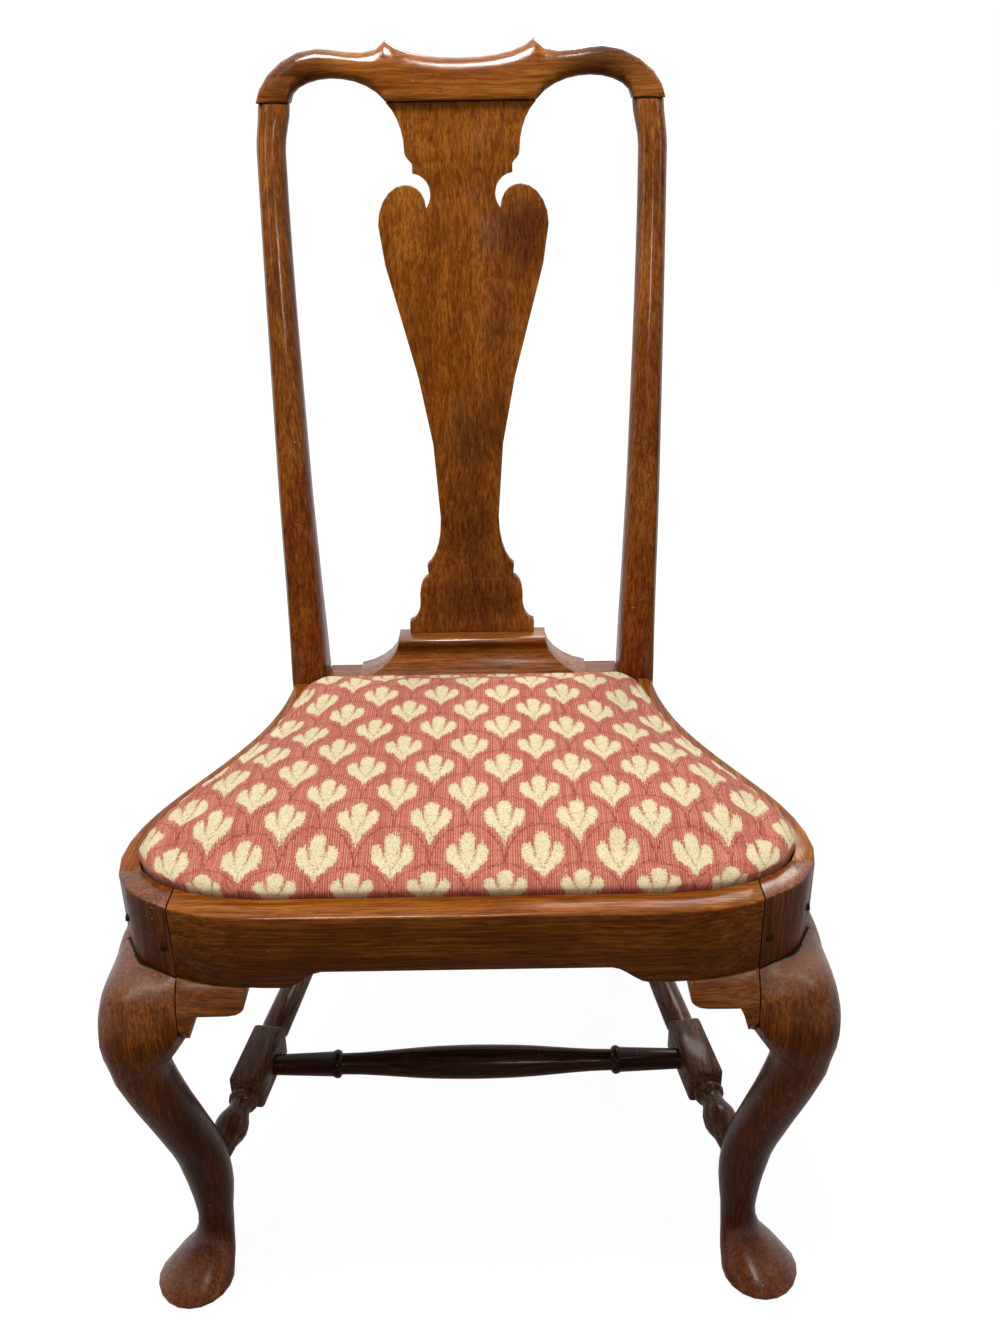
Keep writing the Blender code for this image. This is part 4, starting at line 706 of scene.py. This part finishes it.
def blowUp(look, mesh):
    form = bpy.data.objects.new("cushion start", mesh)
    scene.collection.objects.link(form)
    voxels = form.modifiers.new("voxels", "REMESH")
    voxels.mode = "VOXEL"
    voxels.voxel_size = look["voxel"]
    fine = evaluated(form)
    bpy.data.objects.remove(form)
    start = np.array([vertex.co for vertex in fine.vertices])
    form = bpy.data.objects.new("cushion cloth", fine)
    scene.collection.objects.link(form)
    held = form.vertex_groups.new(name="held")
    for i, z in enumerate(start[:, 2]):
        share = (look["pinHigh"] - z) / (look["pinHigh"] - look["pinLow"])
        held.add([i], float(np.clip(share, 0, 1)), "REPLACE")
    cloth = form.modifiers.new("cloth", "CLOTH")
    rules = cloth.settings
    for rule, value in clothRules.items():
        setattr(rules, rule, value)
    rules.uniform_pressure_force = look["pressure"]
    rules.vertex_group_mass = held.name
    rules.effector_weights.gravity = 0
    cloth.collision_settings.use_collision = False
    cloth.point_cache.frame_start = 1
    cloth.point_cache.frame_end = look["frames"]
    for step in range(1, look["frames"] + 1):
        scene.frame_set(step)
    blown = evaluated(form)
    moved = np.array([vertex.co for vertex in blown.vertices]) - start
    far = np.linalg.norm(moved, axis=1)
    print("cloth moved up to", round(float(far.max()) * 1000, 1), "mm")
    capped = start + moved * np.minimum(1, look["cap"] / np.maximum(far, 1e-9))[:, None]
    scene.frame_set(1)
    bpy.data.objects.remove(form)
    blown.vertices.foreach_set("co", capped.ravel())
    return blown


def clamped(value):
    return min(max(value, 0), 1)


def depthIn(vertex, fine, inward):  # its place, the nearest point of the outline, and how far inside it lies
    here = np.array(vertex.co[:2])
    near = int(((fine - here) ** 2).sum(1).argmin())
    return here, near, float((here - fine[near]) @ inward[near])


def drapeSides(look, work, fine, inward):
    inner = [vertex for vertex in work.verts if not vertex.is_boundary]
    soft = [vertex for vertex in inner if vertex.co.z < look["softTop"]]
    axes = {"use_axis_x": True, "use_axis_y": True, "use_axis_z": True}
    for _ in range(look["softPasses"]):
        bmesh.ops.smooth_vert(work, verts=soft, factor=look["softShare"], **axes)
    for vertex in soft:  # outside the wooden frame up to its top edge, and a little over the rails
        if vertex.co.z < look["clear"]:
            here, near, depth = depthIn(vertex, fine, inward)
            short = look["proud"] * clamped((vertex.co.z - look["proudLow"]) / look["proudRun"]) + depth
            if short > 0:
                vertex.co.xy = here - inward[near] * short
    for vertex in inner:  # and over the edge of the hessian
        if vertex.co.z < look["cover"]:
            _, _, depth = depthIn(vertex, fine, inward)
            rise = clamped((depth - look["coverStart"]) / look["coverRun"])
            if rise > 0:
                vertex.co.z = max(vertex.co.z, look["clear"] + (look["cover"] - look["clear"]) * rise)


def extended(work, edges, spots, place):  # one more row of faces along the rim
    made = bmesh.ops.extrude_edge_only(work, edges=edges)["geom"]
    new = {item for item in made if isinstance(item, bmesh.types.BMVert)}
    moved = {}
    for old, spot in spots.items():
        twin = next(edge.other_vert(old) for edge in old.link_edges if edge.other_vert(old) in new)
        twin.co = place(spot)
        moved[twin] = spot
    return [item for item in made if isinstance(item, bmesh.types.BMEdge) and item.is_boundary], moved


def hemUnder(look, work, fine, inward):
    step, count = look["turnStep"], look["finePoints"]
    turn = np.arccos(np.clip((np.roll(inward, -step, 0) * np.roll(inward, step, 0)).sum(1), -1, 1))
    close = np.convolve(np.tile(turn > look["tightTurn"], 3), np.ones(look["tightSpread"]), "same")
    tight = close[count:2 * count] > 0  # beside a sharp corner
    spots = {}
    for vertex in [vertex for vertex in work.verts if vertex.is_boundary]:
        _, near, _ = depthIn(vertex, fine, inward)
        spots[vertex] = near
        vertex.co = (*fine[near], look["cut"])
    edges = [edge for edge in work.edges if edge.is_boundary]

    def hemPlace(share):
        def place(spot):
            depth = look["hemCorner"] if tight[spot] else look["hem"]
            return (*(fine[spot] + inward[spot] * depth * share), look["hemLevel"])
        return place

    half = (look["cut"] + look["hemLevel"]) / 2 + look["bulge"]
    turned = look["hemLevel"] + look["hemRound"]
    rows = [
        lambda spot: (*fine[spot], half),
        lambda spot: (*(fine[spot] + inward[spot] * look["hemInset"]), turned),
        *(hemPlace(share) for share in look["hemShares"]),
    ]
    for place in rows:
        edges, spots = extended(work, edges, spots, place)


def turnUnder(look, mesh, loop):
    work = bmesh.new()
    work.from_mesh(mesh)
    geom = work.verts[:] + work.edges[:] + work.faces[:]
    plane = {"plane_co": (0, 0, look["cut"]), "plane_no": (0, 0, 1)}
    bmesh.ops.bisect_plane(work, geom=geom, clear_inner=True, **plane)
    bmesh.ops.remove_doubles(work, verts=work.verts, dist=look["merge"])
    fine = evenly(loop, look["finePoints"])
    inward = inwardOf(fine)
    drapeSides(look, work, fine, inward)
    hemUnder(look, work, fine, inward)
    for vertex in work.verts:
        vertex.co.y = min(vertex.co.y, look["rear"])
    bmesh.ops.recalc_face_normals(work, faces=work.faces)
    return meshOf("seat_cushion", work)


clothLook = {
    "across": 0.0574, "along": 0.0358, "offset": (0.0012, -0.2262), "thread": 0.00095, "pick": 0.00105,
    "top": 0.4420, "ground": (0.410, 0.086, 0.063), "groundLight": (0.665, 0.268, 0.164),
    "groundDark": (0.270, 0.042, 0.034), "cream": (0.760, 0.650, 0.400),
    "creamShade": (0.360, 0.255, 0.100), "arc": (0.240, 0.034, 0.032), "roll": (0.270, 0.040, 0.045),
    "ragRows": 90.0, "rag": 0.0028, "slub": ((620.0, 30.0, 60.0), 2.0, 0.5), "pairShare": 0.45,
    "threadShare": 0.55, "streakRange": (0.10, 0.95), "fleckRange": (0.70, 0.9), "fleckShare": 0.40,
    "rowShare": 0.22, "slubRange": (0.55, 0.75), "slubShare": 0.25, "arcLeast": 0.50, "arcMore": 0.45,
    "rimRange": (0.3, 2.4), "rimShare": 0.22, "shadeRange": (0.55, 0.95), "shadeShare": 0.42,
    "veinRange": (0.35, 0.85), "veinShare": 0.85, "leafRag": 1.4, "leafEdge": (-0.1, 0.35),
    "rollFall": (0.010, 0.024), "rollBack": (0.05, -0.7), "rollShadeShare": 0.35, "bump": 0.6, "depth": 0.0004,
    "slubHigh": 0.6, "rough": 0.92, "streakSmooth": 0.10,
}
clothFixed = {"Specular IOR Level": 0.12, "Sheen Weight": 0.12, "Sheen Roughness": 0.5}
leafLook = {  # in millimetres out and up from the foot of each scale, with slopes and shares
    "below": 0.4, "lobeUp": 19.0, "lobeHalf": (6.9, 10.3),
    "wingAt": (9.8, 8.4), "wingHalf": (6.4, 11.6), "lean": (0.170, 0.985),
    "foot": (15.0, 0.60, 0.80), "longFoot": (18.4, 0.42, 0.90), "shoulder": (13.0, 0.50),
    "notchAt": (5.6, 8.0), "notchStart": 0.5, "notchOpen": 0.13,
    "ribAt": (0.4, -5.0), "ribLean": (0.372, 0.928), "ribHalf": (0.4, 1.5), "ribFoot": (-6.0, -4.0),
    "ribTip": (9.0, 14.0), "stalkHalf": (0.3, 1.1), "stalkTop": (-5.0, -2.0),
    "arcAt": 0.985, "arcHalf": (0.009, 0.026), "arcFoot": (-1.5, 0.5),
}


def leaning(side, up, at, lean):  # distances along and across a line that leans out
    out, rise = side - at[0], up - at[1]
    return out * lean[0] + rise * lean[1], out * lean[1] - rise * lean[0]


def oval(across, along, half):  # millimetres inside an oval, below 0 outside it
    return (1.0 - ((across / half[0]) ** 2.0 + (along / half[1]) ** 2.0) ** 0.5) * half[0]


def leafFigure(us, vs, shift, cloth, look):  # the leaf, its veins and the arc round its scale
    across, along = cloth["across"], cloth["along"]
    dx = ((us / across + (0.5 + shift[0])) % 1.0 - 0.5) * (across * 1000)
    up = ((vs / (2 * along) + (look["below"] + shift[1])) % 1.0 - look["below"]) * (along * 2000)
    side = abs(dx)
    lobe = oval(side, up - look["lobeUp"], look["lobeHalf"])
    reach, spread = leaning(side, up, look["wingAt"], look["lean"])
    wing = oval(spread, reach, look["wingHalf"])
    short, long = ((up + low) * rise - side * slope for low, rise, slope in (look["foot"], look["longFoot"]))
    high, slope = look["shoulder"]
    body = short.most(long).least(high - up - side * slope)
    run, off = leaning(side, up, look["notchAt"], look["lean"])  # the notch beside the middle lobe
    notch = abs(off) - (run - look["notchStart"]) * look["notchOpen"]
    shape = lobe.most(wing).most(body).least(notch)
    _, rib = leaning(side, up, look["ribAt"], look["ribLean"])
    vein = (1.0 - abs(rib).ramp(*look["ribHalf"])) * up.ramp(*look["ribFoot"])
    vein = vein * (1.0 - up.ramp(*look["ribTip"]))
    stalk = (1.0 - side.ramp(*look["stalkHalf"])) * (1.0 - up.ramp(*look["stalkTop"]))
    bow = ((dx / (across * 500)) ** 2.0 + (up / (along * 1000)) ** 2.0) ** 0.5
    arc = (1.0 - abs(bow - look["arcAt"]).ramp(*look["arcHalf"])) * up.ramp(*look["arcFoot"])
    return shape, vein.most(stalk), arc


def clothFinish(look):
    finish, wire, shader = newFinish("rose cloth", clothFixed)
    here = wire.node("TexCoord", out="Object")
    x, y, z = here.parts()
    across, back, _ = here.node("NewGeometry", out="Normal").parts()
    fall = (look["top"] - z).most(0.0)
    u = x + across * fall - look["offset"][0]
    v = y + back * fall - look["offset"][1]
    column = (u / look["thread"]).floor()
    row = (v / look["pick"]).floor()

    def chance(first, second, seed):  # a fixed random number for each thread or crossing
        cell = here.node("CombineXYZ", {}, {0: first, 1: second, 2: seed})
        return here.node("TexWhiteNoise", {"noise_dimensions": "3D"}, {"Vector": cell}, "Value")

    ragged = (chance(column, (v * look["ragRows"]).floor(), 1.0) - 0.5) * look["rag"]
    us = (column + 0.5) * look["thread"]
    vs = (row + 0.5) * look["pick"] + ragged
    figures = [leafFigure(us, vs, shift, look, leafLook) for shift in ((0.0, 0.0), (0.5, 0.5))]
    leaf, vein, arc = (first.most(second) for first, second in zip(*figures))
    streak = (column % 2.0) * look["pairShare"] + chance(column, 0.0, 2.0) * look["threadShare"]
    slub = here.noise(*look["slub"])
    ground = streak.ramp(*look["streakRange"]).over(look["ground"], look["groundLight"])
    fleck = chance(column, row, 3.0)
    ground = (fleck.ramp(*look["fleckRange"]) * look["fleckShare"]).over(ground, look["groundDark"])
    ground = (chance(0.0, row, 7.0) * look["rowShare"]).over(ground, look["groundDark"])
    ground = (slub.ramp(*look["slubRange"]) * look["slubShare"]).over(ground, look["groundLight"])
    ground = (arc * (look["arcLeast"] + chance(column, row, 4.0) * look["arcMore"])).over(ground, look["arc"])
    shade = (1.0 - leaf.ramp(*look["rimRange"])) * look["rimShare"]
    shade = shade + fleck.ramp(*look["shadeRange"]) * look["shadeShare"]
    cream = shade.over(look["cream"], look["creamShade"])
    vein = vein * chance(column, row, 5.0).ramp(*look["veinRange"]) * look["veinShare"]
    cream = vein.over(cream, look["creamShade"])
    leaf = leaf + (chance(column, row, 6.0) - 0.5) * look["leafRag"]
    colour = leaf.ramp(*look["leafEdge"]).over(ground, cream)
    # The cushion's front roll painted darker where it falls away: mostly painted shade, with some dirt
    rollShade = fall.ramp(*look["rollFall"]) * back.ramp(*look["rollBack"])
    colour = (rollShade * look["rollShadeShare"]).over(colour, look["roll"])
    warp = abs((u / look["thread"]) % 1.0 - 0.5)
    weft = abs((v / look["pick"]) % 1.0 - 0.5)
    check = (column + row) % 2.0
    knit = check * (0.5 - warp) + (1.0 - check) * (0.5 - weft) + slub * look["slubHigh"]
    bump = here.node("Bump", {}, {"Strength": look["bump"], "Distance": look["depth"], "Height": knit})
    rough = look["rough"] - streak * look["streakSmooth"]
    feed(wire, shader, {"Base Color": colour, "Roughness": rough, "Normal": bump})
    return finish


def makeCushion(look):
    loop = evenly(outlineOf("seat_cover", look["loopLevel"]), look["around"])
    body = blowUp(look, startForm(look, loop))
    mesh = turnUnder(look, body, loop)
    cushion = newPiece("seat_cushion", mesh, clothFinish(clothLook), "slip_seat")
    shell = cushion.modifiers.new("cloth thickness", "SOLIDIFY")
    shell.thickness = look["thick"]
    shell.offset = -1
    finer = cushion.modifiers.new("finer", "SUBSURF")
    finer.levels = finer.render_levels = 1
    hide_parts("seat_cover", "seat_wadding")


makeCushion(cushionLook)
print("cushion made")


# Hessian stretched on the frame, over woven webbing

hessianLook = {
    "around": 120, "rings": 9, "thick": 0.0008, "ripple": 0.0001, "waves": (240, 210), "pitch": 0.0024,
    "light": (0.47, 0.35, 0.20), "dark": (0.17, 0.11, 0.055),
}
strapLook = {
    "near": 0.00002, "step": 0.004, "edge": 0.0012, "edgeRound": (0.3, 0.7), "ribs": (-0.5, 0, 0.5),
    "pitch": 0.0016, "light": (0.52, 0.40, 0.24), "dark": (0.24, 0.16, 0.080),
    "stripe": (0.20, 0.045, 0.030), "stripeAt": 0.0165, "stripeHalf": 0.0019, "stripeCore": 0.8,
    "stripeLeast": 0.6, "stripeMore": 0.35, "spacing": 0.080,
}
juteLook = {
    "hair": ((900.0, 900.0, 900.0), 2.0, 0.6), "threadRange": (0.0, 0.7), "threadShare": 0.6,
    "chanceShare": 0.25, "hairShare": 0.25, "toneRange": (0.15, 0.95), "bump": 0.7, "depth": 0.0004,
    "hairHigh": 0.4, "rough": 0.86, "hairRough": 0.12, "specular": 0.08,
}


def juteFinish(name, changes, along, offset, stripe):
    look = {**juteLook, **changes}
    finish, wire, shader = newFinish(name, {"Specular IOR Level": look["specular"]})
    here = wire.node("TexCoord", out="Object")
    x, y, _ = here.parts()
    run, wide = (y, x) if along == 1 else (x, y)
    first = (run / look["pitch"]).floor()
    second = (wide / look["pitch"]).floor()
    cell = here.node("CombineXYZ", {}, {0: first, 1: second, 2: 1.0})
    chance = here.node("TexWhiteNoise", {"noise_dimensions": "3D"}, {"Vector": cell}, "Value")
    over = (first + second) % 2.0
    # Each thread paler at its crown and darker where it dips under the next: painted shade between the
    # threads
    acrossRound = 1.0 - abs((wide / look["pitch"]) % 1.0 - 0.5) * 2.0
    alongRound = 1.0 - abs((run / look["pitch"]) % 1.0 - 0.5) * 2.0
    thread = over * acrossRound + (1.0 - over) * alongRound
    hair = here.noise(*look["hair"])
    tone = thread.ramp(*look["threadRange"]) * look["threadShare"]
    tone = tone + chance * look["chanceShare"] + hair * look["hairShare"]
    colour = tone.ramp(*look["toneRange"]).over(look["dark"], look["light"])
    if stripe:
        centred = (wide - offset + look["spacing"] / 2) % look["spacing"] - look["spacing"] / 2
        core = look["stripeHalf"] * look["stripeCore"]
        band = 1.0 - abs(abs(centred) - look["stripeAt"]).ramp(core, look["stripeHalf"])
        colour = (band * (look["stripeLeast"] + chance * look["stripeMore"])).over(colour, look["stripe"])
    height = thread + hair * look["hairHigh"]
    bump = here.node("Bump", {}, {"Strength": look["bump"], "Distance": look["depth"], "Height": height})
    rough = look["rough"] + hair * look["hairRough"]
    feed(wire, shader, {"Base Color": colour, "Roughness": rough, "Normal": bump})
    return finish


def makeHessian(look):
    low, high = (np.array(corner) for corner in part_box("seat_hessian"))
    level = (low[2] + high[2]) / 2
    loop = evenly(outlineOf("seat_hessian", level), look["around"])
    middle = (loop.max(0) + loop.min(0)) / 2
    acrossWaves, alongWaves = look["waves"]
    work = bmesh.new()
    grid = []
    for ring in range(look["rings"]):
        share = 1 - ring / look["rings"]
        row = []
        for x, y in middle + (loop - middle) * share:
            wave = look["ripple"] * math.sin(x * acrossWaves) * math.cos(y * alongWaves)
            row.append(work.verts.new((x, y, level + wave)))
        grid.append(row)
    heart = work.verts.new((*middle, level))
    for outer, inner in zip(grid, grid[1:]):
        for i, vertex in enumerate(outer):
            j = (i + 1) % len(outer)
            work.faces.new((vertex, outer[j], inner[j], inner[i]))
    for i, vertex in enumerate(grid[-1]):
        work.faces.new((vertex, grid[-1][(i + 1) % len(grid[-1])], heart))
    finish = juteFinish("hessian weave", look, 0, 0.0, False)
    sheet = newPiece("seat_sacking", meshOf("seat_sacking", work), finish, "slip_seat")
    shell = sheet.modifiers.new("cloth thickness", "SOLIDIFY")
    shell.thickness = look["thick"]
    shell.offset = 0
    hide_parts("seat_hessian")
    near = np.roll(loop, -1, 0)
    area = abs(float((loop[:, 0] * near[:, 1] - near[:, 0] * loop[:, 1]).sum())) / 2


def makeStrap(name, node, look, finish, along):
    points = np.array([vertex.co for vertex in nodes[node].data.vertices])
    low, high = points.min(0), points.max(0)
    across = 1 - along
    stations = np.unique(np.round(points[:, along], 5))
    levels = [points[np.abs(points[:, along] - at) < look["near"]][:, 2].mean() for at in stations]
    runs = np.linspace(low[along], high[along], int((high[along] - low[along]) / look["step"]) + 1)
    heights = np.interp(runs, stations, levels)
    half = (high[across] - low[across]) / 2
    thick = np.ptp(points[np.abs(points[:, along] - stations[0]) < look["near"]][:, 2]) / 2
    edge = look["edge"]
    inset, rise = look["edgeRound"]
    section = [(-half, 0), (-half + edge * inset, rise), (-half + edge, 1)]  # rounded selvedges
    section += [(half * part, 1) for part in look["ribs"]]
    section += [(half - edge, 1), (half - edge * inset, rise), (half, 0)]
    section += [(side, -up) for side, up in reversed(section[1:-1])]
    middle = (low[across] + high[across]) / 2
    work = bmesh.new()
    rings = []
    for run, height in zip(runs, heights):
        ring = []
        for side, up in section:
            place = [0.0, 0.0, height + up * thick]
            place[along] = run
            place[across] = middle + side
            ring.append(work.verts.new(place))
        rings.append(ring)
    for first, second in zip(rings, rings[1:]):
        for i, vertex in enumerate(first):
            j = (i + 1) % len(first)
            work.faces.new((vertex, first[j], second[j], second[i]))
    work.faces.new(rings[0][::-1])
    work.faces.new(rings[-1])
    bmesh.ops.recalc_face_normals(work, faces=work.faces)
    strap = newPiece(name, meshOf(name, work), finish, "slip_seat")
    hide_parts(node)


makeHessian(hessianLook)
rowMiddle = sum(corner[1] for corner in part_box("webbing_cross_2")) / 2
for word, along, offset in (("long", 1, 0.0), ("cross", 0, rowMiddle)):
    jute = juteFinish("webbing " + word, strapLook, along, offset, True)
    for number in (1, 2, 3):
        makeStrap(f"strap_{word}_{number}", f"webbing_{word}_{number}", strapLook, jute, along)
print("hessian and webbing made")
